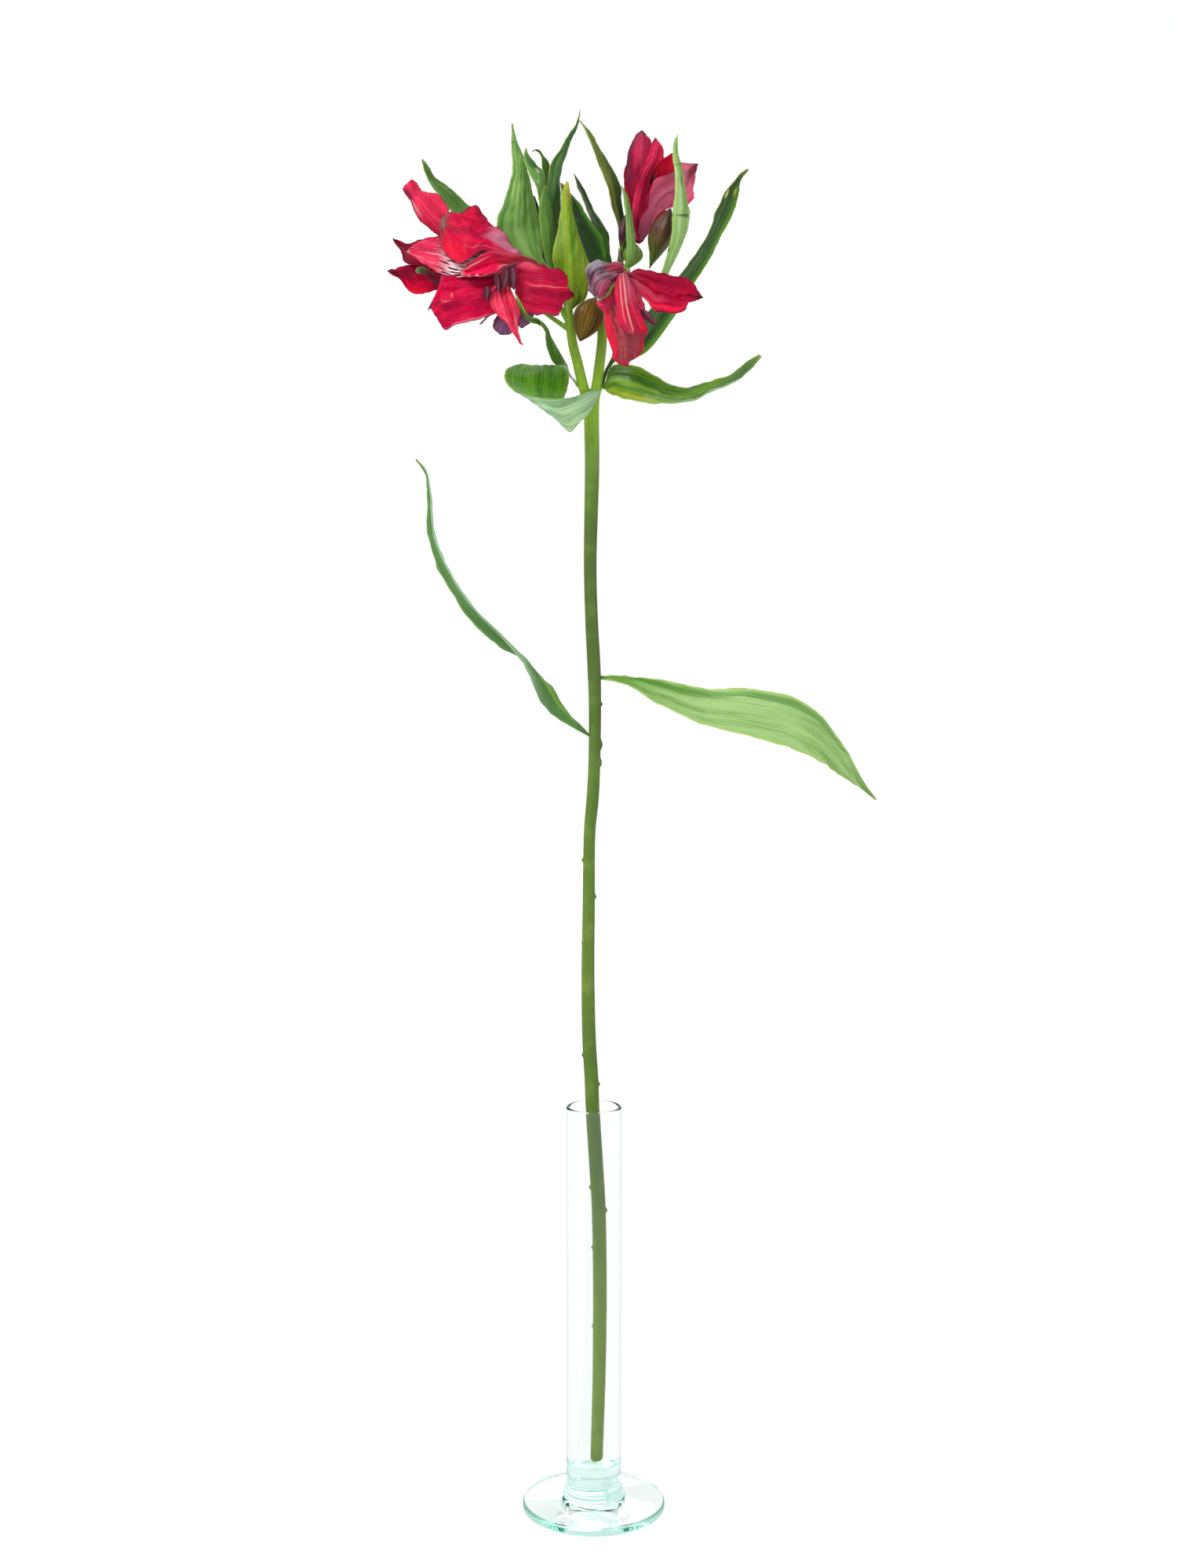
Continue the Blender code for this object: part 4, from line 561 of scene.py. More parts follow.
def joined(name, pieces):
    """One object from several, with their modifiers applied and their materials kept."""
    graph = bpy.context.evaluated_depsgraph_get()
    bm = bmesh.new()
    skins = []
    for part in pieces:
        mesh = bpy.data.meshes.new_from_object(part.evaluated_get(graph))
        first = len(bm.faces)
        bm.from_mesh(mesh)
        bm.faces.ensure_lookup_table()
        for face in bm.faces[first:]:
            look = mesh.materials[face.material_index]
            if look not in skins:
                skins.append(look)
            face.material_index = skins.index(look)
        bpy.data.meshes.remove(mesh)
        bpy.data.objects.remove(part, do_unlink=True)
    bmesh.ops.scale(bm, vec=(1 / MM, 1 / MM, 1 / MM), verts=bm.verts)
    return piece(name, bm, skins)


def triangles(mesh):
    """How many triangles a mesh's faces hold."""
    return sum(len(face.vertices) - 2 for face in mesh.polygons)


def finish_piece(made, node):
    """The piece stands for the solid of that name: it hangs from the root body, and the solid is hidden."""
    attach(made, "root")
    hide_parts(node)
    print(made.name, "for", node, "-", triangles(made.data), "triangles")


# %% A leaf or petal
def blade(name, rows, skins, root, steps=64, across=20, dish=0.0, ruffle=0.0, waves=3.0, pleats=6.0,
          pleat=0.08, frill=0.0, ragged=0.0, crumple=0.0, fold=0.0, thick=0.5, seed=0.0):
    """A blade that grows from root between its two edges. skins are its far and near face's material.

    dish and ruffle are the depth of the hollow and of the long waves, pleat that of the ridges along
    the veins, frill the height of small waves at the margins, ragged how far the margins wander,
    crumple the depth of soft creases and fold that of a keel along the middle, all in millimetres.
    """
    half = (Vector(rows[0][1]) - Vector(rows[0][0])).normalized() * 0.5
    left = [Vector(root) - half] + [Vector(row[0]) for row in rows]
    right = [Vector(root) + half] + [Vector(row[1]) for row in rows]
    reach = [0.0]
    for step in range(steps):
        ahead = along(left, (step + 1) / steps) + along(right, (step + 1) / steps)
        reach.append(reach[-1] + (ahead - along(left, step / steps) - along(right, step / steps)).length / 2)
    bm = mapped_bmesh()
    thin = bm.verts.layers.deform.verify()
    bmesh.ops.create_grid(bm, x_segments=steps, y_segments=across, size=1)
    spots = {}
    for corner in bm.verts:
        u = (corner.co.x + 1) / 2
        w = (corner.co.y + 1) / 2
        a, b = along(left, u), along(right, u)
        ahead = (along(left, min(u + 0.02, 1)) + along(right, min(u + 0.02, 1))) / 2
        behind = (along(left, max(u - 0.02, 0)) + along(right, max(u - 0.02, 0))) / 2
        side = b - a
        width = side.length
        normal = (ahead - behind).cross(side).normalized()
        far = reach[round(u * steps)]
        swell = math.sin(math.pi * u)
        body = min(1.0, swell * 2.5)
        off = 2 * w - 1
        lift = dish * swell * 4 * w * (1 - w)
        lift += ruffle * swell * off ** 2 * math.sin(math.tau * waves * u + 1.7 * round(w))
        lift += pleat * body * min(1.0, width / 5) * math.cos(math.tau * pleats * w)
        lift += fold * body * (1 - abs(off)) ** 2
        lift += frill * body * off ** 4 * noise.noise((far / 4.5, 3.0 * round(w), seed))
        spot = Vector((far / 9, w * width / 3.2, seed + 7.3))
        lift += crumple * body * noise.fractal(spot, 0.8, 2.0, 3)
        wander = ragged * body * noise.fractal((far / 4.0, 5.0 * round(w) + 1.5, seed), 0.7, 2.0, 4)
        corner.co = a.lerp(b, w) + normal * lift
        if width > 0.5:
            corner.co += side.normalized() * (wander * off ** 5)
            blunt = ragged * noise.fractal((w * width / 2.5, seed, 2.0), 0.7, 2.0, 4) - ragged * off ** 4
            corner.co += (ahead - behind).normalized() * (blunt * u ** 16)
        corner[thin][0] = 1.0 - 0.75 * max(abs(off) ** 4, (2 * u - 1) ** 12)
        spots[corner] = ((u, w), (far, off * width / 2))
    for face in bm.faces:
        for loop in face.loops:
            loop[bm.loops.layers.uv["blade"]].uv = spots[loop.vert][0]
            loop[bm.loops.layers.uv["span"]].uv = spots[loop.vert][1]
    made = piece(name, bm, skins)
    made.vertex_groups.new(name="thin")
    wall = made.modifiers.new("thickness", "SOLIDIFY")
    wall.thickness = thick * MM
    wall.offset = 0
    wall.vertex_group = "thin"
    wall.thickness_vertex_group = 0.15
    wall.material_offset = 1
    return made


print("blades can be made")

# %% [markdown]
# ## Where every blade runs
# The leaves have the same edge points as the solid model, in millimetres: the left edge and the right
# edge, base first, seen with the base below. Most petals have more points, for their lobes and tips.

# %% Edges of the leaves
LEAF_MID_LEFT = [
    ((-3, -13, 329.5), (-3, -12, 331)),
    ((-8, -16, 332.5), (-7.5, -13, 335.5)),
    ((-16.5, -20, 338.5), (-13, -14, 342.5)),
    ((-22, -24, 345.5), (-16.5, -15, 349)),
    ((-25, -26, 354), (-22.5, -16, 354)),
    ((-29, -27, 361), (-29, -16, 361)),
    ((-36.5, -27, 370), (-38.5, -17, 366)),
    ((-48.5, -26, 382.5), (-51.5, -17, 379)),
    ((-57.5, -24, 396), (-61.5, -15, 395.5)),
    ((-62.5, -22, 407.5), (-66, -14, 409)),
    ((-64.5, -20, 422.5), (-66.5, -14, 423)),
    ((-66, -18, 434), (-67, -15, 433.5)),
    ((-70.5, -15, 440), (-71, -14.5, 439.5)),
]
LEAF_MID_RIGHT = [
    ((3.4, -13, 353.5), (3.4, -14, 352)),
    ((13.5, -13, 353.5), (13.5, -18, 350)),
    ((26, -13, 352), (25.5, -23, 343)),
    ((44.5, -13, 348.5), (42.5, -26, 335.5)),
    ((62.5, -14, 348.5), (60, -28, 331)),
    ((78.5, -15, 345.5), (75.5, -28, 326.5)),
    ((90.5, -16, 338.5), (88.5, -26, 321)),
    ((100, -17, 326), (98, -23, 314.5)),
    ((108, -18, 312), (107, -19, 308.5)),
    ((113.5, -17, 304.5), (113.5, -17, 303.5)),
]
LEAF_WHORL_RIGHT = [
    ((3.8, -17.6, 469), (3.8, -19.4, 467)),
    ((7, -17, 476), (6.2, -23, 465)),
    ((14, -18, 476.5), (13.5, -30, 462)),
    ((22, -20, 473.5), (22, -34, 460.5)),
    ((30, -22, 469), (29.5, -35, 460.5)),
    ((37, -23, 467.5), (37.5, -34, 462)),
    ((45, -23, 469.5), (46, -32, 466)),
    ((53.5, -22, 472.5), (54.5, -29, 469.5)),
    ((60, -20, 477.5), (61.5, -25, 474.5)),
    ((65, -18, 480.5), (66, -19, 479.5)),
]
LEAF_WHORL_LOOP = [
    ((1.9, -20.7, 466.2), (1.9, -20.9, 464.4)),
    ((-1.5, -23.4, 466), (-1.5, -24.5, 457.5)),
    ((-9, -26, 463), (-6, -29, 453)),
    ((-16.5, -28, 462.5), (-9.5, -31, 449.5)),
    ((-24, -27, 463.5), (-14, -30, 454)),
    ((-30.5, -23, 465.5), (-14, -23, 458.5)),
    ((-34.5, -18, 469.5), (-11.5, -15, 465)),
    ((-35.5, -14, 473), (-10, -10, 471)),
    ((-34, -9, 476), (-10.5, -5, 476)),
    ((-29.5, -5, 477.5), (-12.5, -1, 477.5)),
    ((-24, -2, 475.5), (-15, 1, 475)),
    ((-20, -1, 471), (-18.5, 0, 471)),
]
LEAF_WHORL_TWIST = [
    ((-3.2, -15.4, 465.5), (-5, -15.8, 466.5)),
    ((-6, -9, 468.5), (-8, -10, 470.5)),
    ((-9, 1, 473), (-12, 0, 475.5)),
    ((-11.5, 7, 479.5), (-17, 4, 480)),
    ((-15, 5, 485.5), (-19, -1, 485.5)),
    ((-18.5, -6, 490), (-20, -14, 490.5)),
    ((-22, -18, 492), (-22, -26, 493.5)),
    ((-24.5, -31, 491.5), (-24, -39, 492.5)),
    ((-26.6, -45, 491.8), (-25.6, -50, 493)),
    ((-28.4, -50.8, 495.3), (-27.5, -52.2, 496.3)),
    ((-30, -52, 500), (-29.8, -52, 500.5)),
]
LEAF_WHORL_TALL = [
    ((1.4, -14.8, 467), (3.2, -15.4, 467.5)),
    ((6, -10, 478.5), (8, -9, 478)),
    ((12, -3, 486), (20.5, -1, 482.5)),
    ((20.5, 5, 498), (32, 8, 497)),
    ((30.5, 12, 509.5), (40, 15, 510.5)),
    ((39, 16, 520.5), (47, 20, 521.5)),
    ((46, 18, 531), (52, 23, 531.5)),
    ((50, 19, 542), (57.5, 24, 542.5)),
    ((54.5, 19, 550.5), (59.5, 23, 551)),
    ((58.5, 18, 555), (60.5, 20, 554.5)),
    ((62, 18, 558), (63, 18, 557.5)),
]
LEAF_BROAD_PALE = [
    ((-17.6, -14, 512.2), (-15.8, -14.3, 512.2)),
    ((-29, -14.5, 518.5), (-20, -13, 518)),
    ((-37.5, -14, 527), (-20.5, -10, 527.5)),
    ((-38, -15, 533), (-21.5, -9, 533.5)),
    ((-35.5, -14, 539.5), (-23.5, -9, 541)),
    ((-33.5, -12, 546), (-25, -8, 547.5)),
    ((-32, -11, 553.5), (-27, -7, 555.5)),
    ((-32.5, -9, 561), (-29.5, -7, 562)),
    ((-32.5, -8, 566.5), (-31.5, -7, 567)),
    ((-32.5, -8, 571), (-32, -8, 571)),
]
LEAF_FRONT_YELLOW = [
    ((-9.8, -21.5, 498), (-8, -21.4, 498)),
    ((-12.5, -24, 505), (-3.4, -23.5, 501.5)),
    ((-15.5, -26, 513.5), (-1.5, -25, 508)),
    ((-16, -27, 518.5), (-2, -25, 514.5)),
    ((-14, -26, 527.5), (-5, -23.5, 523)),
    ((-13, -24, 535), (-7.5, -22, 532)),
    ((-12.5, -21, 542), (-9, -20, 540.5)),
    ((-11, -18, 547), (-10, -18, 547)),
]
LEAF_TALL_DARK = [
    ((-15.2, -12.6, 514), (-13.6, -12.4, 514)),
    ((-17, -10.5, 522), (-13.5, -6.5, 522.5)),
    ((-18, -11.5, 532), (-13, -4, 533)),
    ((-18.5, -11.5, 542.5), (-13, -4, 543)),
    ((-18, -11.5, 550), (-13.5, -4, 549)),
    ((-16.5, -11, 555.5), (-12.5, -3, 555.5)),
    ((-13.5, -8, 561), (-11, -1, 561.5)),
    ((-10.5, -4, 567), (-8.5, 1, 568)),
    ((-7.5, -1, 571.5), (-6.5, 2, 572.5)),
    ((-5.5, 2, 578), (-5.5, 2, 578.5)),
]
LEAF_HOOK = [
    ((-14.6, -12.2, 511.5), (-13.2, -12.1, 511.5)),
    ((-18, -4, 519), (-15, -1.5, 519)),
    ((-19.5, -1, 529), (-16, 3, 529)),
    ((-19.5, -1, 538), (-16.5, 4, 539)),
    ((-20.5, 0, 547), (-17, 4, 548)),
    ((-20.5, 0, 556), (-18, 4, 557)),
    ((-21.5, 1, 560.5), (-20, 3, 560.5)),
    ((-23.5, 0, 562), (-22, 1, 562.5)),
    ((-24.5, -3, 561), (-24.5, -3, 561.5)),
]
LEAF_CURL = [
    ((-16.8, -15.6, 512.5), (-16.3, -15, 513.5)),
    ((-19.5, -16.5, 518), (-17.5, -15.8, 518.5)),
    ((-20.5, -17, 526), (-18.5, -16, 526.5)),
    ((-21, -18, 535.5), (-19, -16, 536.5)),
    ((-22.5, -18, 544.5), (-19, -15, 546)),
    ((-24.5, -18, 548.5), (-19.5, -14, 551.5)),
    ((-26.5, -17, 553.5), (-23, -14, 554.5)),
    ((-27.5, -15, 557), (-25.5, -14, 557.5)),
    ((-27, -14, 560.5), (-26.5, -14, 560.5)),
]
LEAF_SLIM_MID = [
    ((-15.8, -17.4, 511.5), (-14.6, -17.6, 512)),
    ((-18, -19.8, 516), (-15.3, -19.2, 516)),
    ((-20, -21.8, 523), (-15.5, -20, 523)),
    ((-21, -22.5, 530), (-15.5, -20, 529.5)),
    ((-21.5, -22, 537), (-17, -20, 537)),
    ((-20.5, -21, 541.5), (-18, -20, 542)),
    ((-19.5, -20, 545), (-19, -20, 545)),
]
LEAF_SLIM_DARK = [
    ((-16.6, -12.9, 512.5), (-15.8, -12.5, 513.5)),
    ((-20, -8, 517.5), (-18, -7.6, 518.5)),
    ((-21.5, -6.2, 524), (-19, -5.6, 525)),
    ((-22, -6, 531), (-20, -5, 531.5)),
    ((-23.5, -6, 538), (-21.5, -5, 538)),
    ((-24, -5, 543.5), (-23.5, -5, 543.5)),
]
LEAF_DARK_BROAD = [
    ((5.9, -12.8, 511.4), (6.4, -11.4, 512.2)),
    ((0, -14, 514.5), (4.5, -10, 514.5)),
    ((-3.5, -15, 518.5), (5, -8, 519)),
    ((-7.5, -16, 525), (3.5, -6, 526.5)),
    ((-10, -16, 532.5), (-0.5, -6, 532.5)),
    ((-12, -14, 539.5), (-5.5, -6, 540.5)),
    ((-13, -11, 544.5), (-9.5, -7, 544.5)),
    ((-13.5, -9, 548), (-12.5, -8, 548)),
]
LEAF_DARK_SLIM = [
    ((7.4, -10.2, 512.6), (8.2, -9.9, 513)),
    ((4.2, -5, 517), (7.3, -2, 517.5)),
    ((1, -3.5, 523), (6.4, 2.5, 523.5)),
    ((0, -4, 530), (6, 4, 530)),
    ((-2, -4, 536.5), (2, 3, 536)),
    ((-4.5, -2, 543), (-1.5, 3, 542.5)),
    ((-6.5, 0, 548), (-4.5, 3, 548.5)),
    ((-8, 2, 553), (-8, 2, 553.5)),
]
LEAF_TALL_ARCH = [
    ((8.6, -8.2, 513.2), (9.6, -7.6, 513.4)),
    ((9.5, -2, 518.5), (12, 0.5, 519)),
    ((10.5, 3, 526), (13, 7.5, 526.5)),
    ((9.5, 1.5, 533), (12.5, 8, 534)),
    ((7, -2, 540), (11.5, 7, 542.5)),
    ((5.5, -3, 547.5), (10.5, 6, 550)),
    ((2.5, -4, 555), (6.5, 4, 557)),
    ((-0.5, -5, 562.5), (2, 2, 564)),
    ((-3.5, -6, 569), (-2, -2, 569.5)),
    ((-6, -6, 572.5), (-5.5, -6, 572.5)),
]
LEAF_SMALL_FRONT = [
    ((10.2, -14.2, 512.8), (11.2, -14.3, 512.6)),
    ((12.6, -16.6, 517), (15.2, -15.4, 517)),
    ((12.8, -17.5, 522), (16.5, -16, 522)),
    ((12.5, -18, 529), (15.5, -16, 529)),
    ((12, -17, 537), (14.5, -16, 537)),
    ((11.5, -16, 542), (13, -16, 542)),
    ((10.5, -16, 545.5), (11, -16, 545.5)),
]
LEAF_PALE_RIGHT = [
    ((20.6, -13.4, 510.4), (21.6, -13.6, 509.2)),
    ((24.5, -21.5, 509.5), (27, -20.5, 508)),
    ((26.8, -24.5, 513.5), (30, -22, 513.5)),
    ((29, -26, 520), (33.5, -21.5, 521)),
    ((30, -27, 527), (36.5, -21.5, 528)),
    ((30.5, -27, 535), (37, -21.5, 535.5)),
    ((31.5, -26, 543.5), (35, -21, 544.5)),
    ((31, -24, 551), (34, -21, 552)),
    ((30.5, -22, 557.5), (32.5, -21, 557.5)),
    ((31, -20, 561.5), (32.5, -20, 561.5)),
    ((32.5, -19, 564.5), (32.5, -19, 565)),
]
LEAF_FAR_LEFT = [
    ((-15.9, -12.4, 508.8), (-15, -12, 510)),
    ((-20.5, -6.5, 513), (-18.5, -4, 515)),
    ((-29, -4, 517), (-26, 0, 521)),
    ((-43, -1, 527), (-39.5, 5, 532.5)),
    ((-54.5, 0, 536), (-50, 7, 541.5)),
    ((-61.5, 0, 544), (-57.5, 7, 548.5)),
    ((-66, 1, 550), (-63, 6, 552)),
    ((-68, 2, 555), (-66, 4, 556)),
    ((-69, 3, 559), (-68.5, 3, 559.5)),
]
print("leaf edges read")

# %% Edges of the petals
BLOOM_FRONT = {
    "top": [
        ((-20.2, -27, 512.7), (-20.5, -26, 513.3)),
        ((-23.3, -28, 514.2), (-23.6, -27, 516.1)),
        ((-27.9, -30, 515.5), (-28.5, -28, 517.8)),
        ((-30.8, -32, 515.4), (-30.2, -28.5, 519.7)),
        ((-34.2, -33.5, 515.6), (-32.6, -29, 522)),
        ((-37.6, -35, 516.1), (-35, -29.5, 525)),
        ((-40.7, -36, 516.6), (-37.1, -30, 527.4)),
        ((-43.4, -37, 517.5), (-39.4, -30, 528.7)),
        ((-46.2, -37.5, 515.9), (-41.1, -30.5, 530.6)),
        ((-48.6, -37.5, 514.3), (-43.1, -30.5, 533)),
        ((-50.7, -37.5, 513.3), (-45.2, -30, 536.4)),
        ((-53.1, -37, 514), (-47.9, -29.5, 535.8)),
        ((-55.8, -36, 515.9), (-51, -29.5, 534)),
        ((-58.1, -35, 518.4), (-54.5, -29, 533.5)),
        ((-59.5, -34, 521.3), (-57.3, -29, 533.2)),
        ((-59.7, -32.5, 525.6), (-59, -30, 531.4)),
    ],
    "stripe_left": [
        ((-20.2, -27, 512.1), (-20.5, -26, 513.1)),
        ((-26.7, -30, 512.3), (-27.1, -27, 514.7)),
        ((-33.5, -34, 510.1), (-33.7, -28.5, 516.2)),
        ((-38.6, -37, 508.5), (-38.6, -29.5, 517.8)),
        ((-43.8, -38, 507.7), (-43.4, -30, 519.8)),
        ((-48.9, -38, 507.6), (-48.3, -30, 521.8)),
        ((-53.5, -37.5, 507.8), (-53.2, -29.5, 523.3)),
        ((-57, -36, 509), (-57, -29, 524.2)),
        ((-60.6, -34, 510.6), (-60.5, -28.5, 524.8)),
        ((-64.3, -31, 512.7), (-64.7, -28, 524.1)),
        ((-67.8, -30, 515.2), (-68.8, -27.5, 522.5)),
        ((-70.7, -28, 517.3), (-71.5, -27, 520.4)),
        ((-72.8, -26, 518.8), (-72.8, -26, 519.1)),
    ],
    "stripe_fold": [
        ((-20.1, -29, 512), (-20.5, -28, 513)),
        ((-23.2, -33, 512.2), (-23.4, -31, 515.2)),
        ((-27.2, -36, 512.5), (-27.6, -34, 516.1)),
        ((-31.3, -38, 512.5), (-31.7, -36, 516.4)),
        ((-35, -40, 511.4), (-35.1, -38, 517.1)),
        ((-36.6, -41, 509.9), (-37.8, -39.5, 517.5)),
        ((-39.1, -41.5, 508.7), (-40.5, -40, 517.3)),
        ((-42.6, -41.5, 508), (-43.6, -40, 515.7)),
        ((-46.4, -41, 507.5), (-46.7, -40, 513.7)),
        ((-49.5, -40, 507.8), (-49.2, -39.5, 511.8)),
        ((-51.8, -39, 509.5), (-51.4, -39, 510.5)),
    ],
    "low_left": [
        ((-20.5, -28, 512.4), (-20.8, -28, 511.5)),
        ((-28.4, -31, 512.1), (-28.8, -32, 506.9)),
        ((-33.6, -32.5, 511.6), (-34.9, -35, 501.4)),
        ((-38.4, -33.5, 510.8), (-37.5, -36.5, 494.8)),
        ((-42.2, -34.5, 509.8), (-40.4, -37.5, 493.2)),
        ((-46.3, -35.5, 509.3), (-44.2, -38, 492)),
        ((-50.8, -36, 509), (-49, -38, 490.8)),
        ((-54.9, -36.5, 508.6), (-53.6, -38, 489.5)),
        ((-57.3, -36.5, 508.7), (-57.6, -37.5, 488.1)),
        ((-58.8, -36.5, 508.2), (-59.7, -37, 491.5)),
        ((-59.6, -37, 504.3), (-61.3, -36, 494.5)),
        ((-61.3, -35, 501.1), (-62.8, -35, 496.1)),
        ((-64.2, -33, 496.1), (-64.4, -33, 495.7)),
    ],
    "right": [
        ((-20.3, -29, 512.8), (-20.3, -29, 511.8)),
        ((-26.5, -35, 513), (-26.2, -35, 508.3)),
        ((-29.8, -41, 512.2), (-29.8, -42, 501.9)),
        ((-28.4, -44, 512.4), (-29.1, -45, 496.6)),
        ((-25.3, -45, 513.1), (-27.2, -47, 493.3)),
        ((-22.4, -46, 512), (-23.1, -48, 492.4)),
        ((-18.7, -46, 511.4), (-18.7, -48, 492.9)),
        ((-14.9, -45, 510.7), (-14.6, -47, 492)),
        ((-11.8, -44, 509.4), (-12.9, -45, 494.6)),
        ((-10, -43, 507.6), (-11.2, -44, 496.9)),
        ((-10.9, -42, 505.9), (-9.4, -42, 498.6)),
        ((-9.2, -41, 502.9), (-8.1, -40, 500)),
        ((-7.6, -40, 500.7), (-7.6, -40, 500.4)),
    ],
    "low_inner": [
        ((-20.3, -29, 511.8), (-20.1, -29, 511.4)),
        ((-34.7, -37, 506.8), (-32.1, -38, 506.1)),
        ((-38.6, -43, 503), (-31.6, -44, 502.3)),
        ((-39.5, -46, 498.9), (-30, -47, 498.5)),
        ((-39.1, -47, 495.4), (-28.6, -47.5, 495.4)),
        ((-36.9, -47, 492), (-28.2, -47.5, 492.3)),
        ((-33.5, -47, 489.3), (-28.9, -47, 489.6)),
        ((-31.3, -46.5, 486.2), (-28.9, -46, 486.9)),
        ((-29.9, -46, 483.8), (-28.7, -45.5, 484.5)),
        ((-28.7, -45, 482.3), (-28.1, -45, 482.9)),
        ((-27.2, -44, 481.8), (-27.2, -44, 482)),
    ],
}
BLOOM_RIGHT = {
    "shrivelled": [
        ((12, -27, 509.6), (12.2, -28, 508.8)),
        ((9.5, -30, 512.3), (9.8, -33, 508.2)),
        ((7.7, -33, 514.1), (8, -36, 506.1)),
        ((5.3, -35.5, 514.2), (6.6, -38.5, 503.4)),
        ((2.1, -37, 514.4), (5.4, -40, 501.6)),
        ((-0.8, -38, 513), (4.6, -40, 500.5)),
        ((-2.7, -38, 510.4), (3.9, -40, 499.5)),
        ((-2, -37.5, 506.9), (3, -39.5, 498.9)),
        ((-1.3, -37, 503.6), (2, -38.5, 499.1)),
        ((-0.2, -36.5, 501.6), (0.8, -37, 499.9)),
    ],
    "stripe_front": [
        ((11.3, -29, 509.7), (12.7, -29, 509.5)),
        ((8.7, -36, 508.1), (13.4, -36, 507.5)),
        ((7.9, -40, 504.6), (15.2, -40, 504.3)),
        ((7.8, -42.5, 501.3), (15.8, -42, 500.6)),
        ((8.2, -44, 497.7), (16, -43.5, 497.4)),
        ((8.5, -44.5, 494.6), (17.1, -44, 494.3)),
        ((8.7, -44.5, 491.6), (18.8, -44, 491.3)),
        ((9.2, -44, 489.4), (20.6, -43, 488)),
        ((10.6, -43.5, 488.3), (19.4, -42.5, 486.5)),
        ((12.1, -43, 487.3), (16.6, -42.5, 487.2)),
        ((12.7, -42.5, 486.4), (13.8, -42.5, 486.7)),
    ],
    "low": [
        ((11.3, -28, 509.6), (12.7, -28, 509.4)),
        ((5.6, -34, 500.5), (11.2, -34.5, 501.2)),
        ((3.9, -37, 494.4), (14.3, -37, 494.7)),
        ((3.9, -38.5, 491.2), (17.7, -37.5, 491.3)),
        ((4.6, -39, 487.1), (20.7, -37.5, 487.9)),
        ((5.6, -39, 483.6), (19.2, -37, 484.9)),
        ((6.5, -38.5, 480.6), (18.8, -36.5, 481.8)),
        ((7, -37.5, 477.6), (18.1, -36, 479.8)),
        ((9.1, -36.5, 475.7), (16.3, -35.5, 477.5)),
        ((11.2, -35.5, 474.7), (13.8, -35, 476.7)),
        ((12.6, -34.5, 474.4), (13, -34.5, 474.9)),
    ],
    "right": [
        ((12.3, -28, 509.6), (12.7, -28, 509.1)),
        ((14, -32, 510.6), (15.4, -33, 504.7)),
        ((16.7, -34.5, 511.1), (17.4, -36, 501.2)),
        ((20.1, -36, 510.7), (20.4, -39, 498.3)),
        ((23.6, -37, 510), (22.8, -41, 494.8)),
        ((27, -37, 509.5), (26.2, -41.5, 494.9)),
        ((30.5, -37, 508.7), (29, -41.5, 493.9)),
        ((33.3, -37, 508.6), (31.4, -41, 493.6)),
        ((35, -36.5, 508.2), (33.9, -40, 494.6)),
        ((36.8, -36, 506.6), (35.5, -39, 496.1)),
        ((38.9, -35.5, 504.8), (36.4, -37.5, 498.3)),
        ((40.7, -34.5, 502.5), (39.2, -36, 499.2)),
        ((42, -34, 500.8), (42, -34, 500.5)),
    ],
    "left_edge": [
        ((11.6, -27, 509.2), (12.2, -27, 508.5)),
        ((8.4, -33, 504.7), (9.1, -32, 501.4)),
        ((5.6, -36, 501.7), (7.4, -34.5, 497.1)),
        ((2.8, -37.5, 499.1), (5.6, -36, 494.5)),
        ((0.8, -37.5, 498.7), (4.2, -36.5, 494.5)),
        ((1.5, -37.5, 496.7), (2.8, -37, 495.3)),
    ],
    "back": [
        ((12, -25, 509.5), (13.5, -24, 509.5)),
        ((12, -22, 504), (17.5, -21, 505)),
        ((12.5, -20, 498.5), (20, -18, 499)),
        ((13, -18, 492), (20, -17, 492.5)),
        ((14.5, -18, 485), (17, -18, 485)),
    ],
}
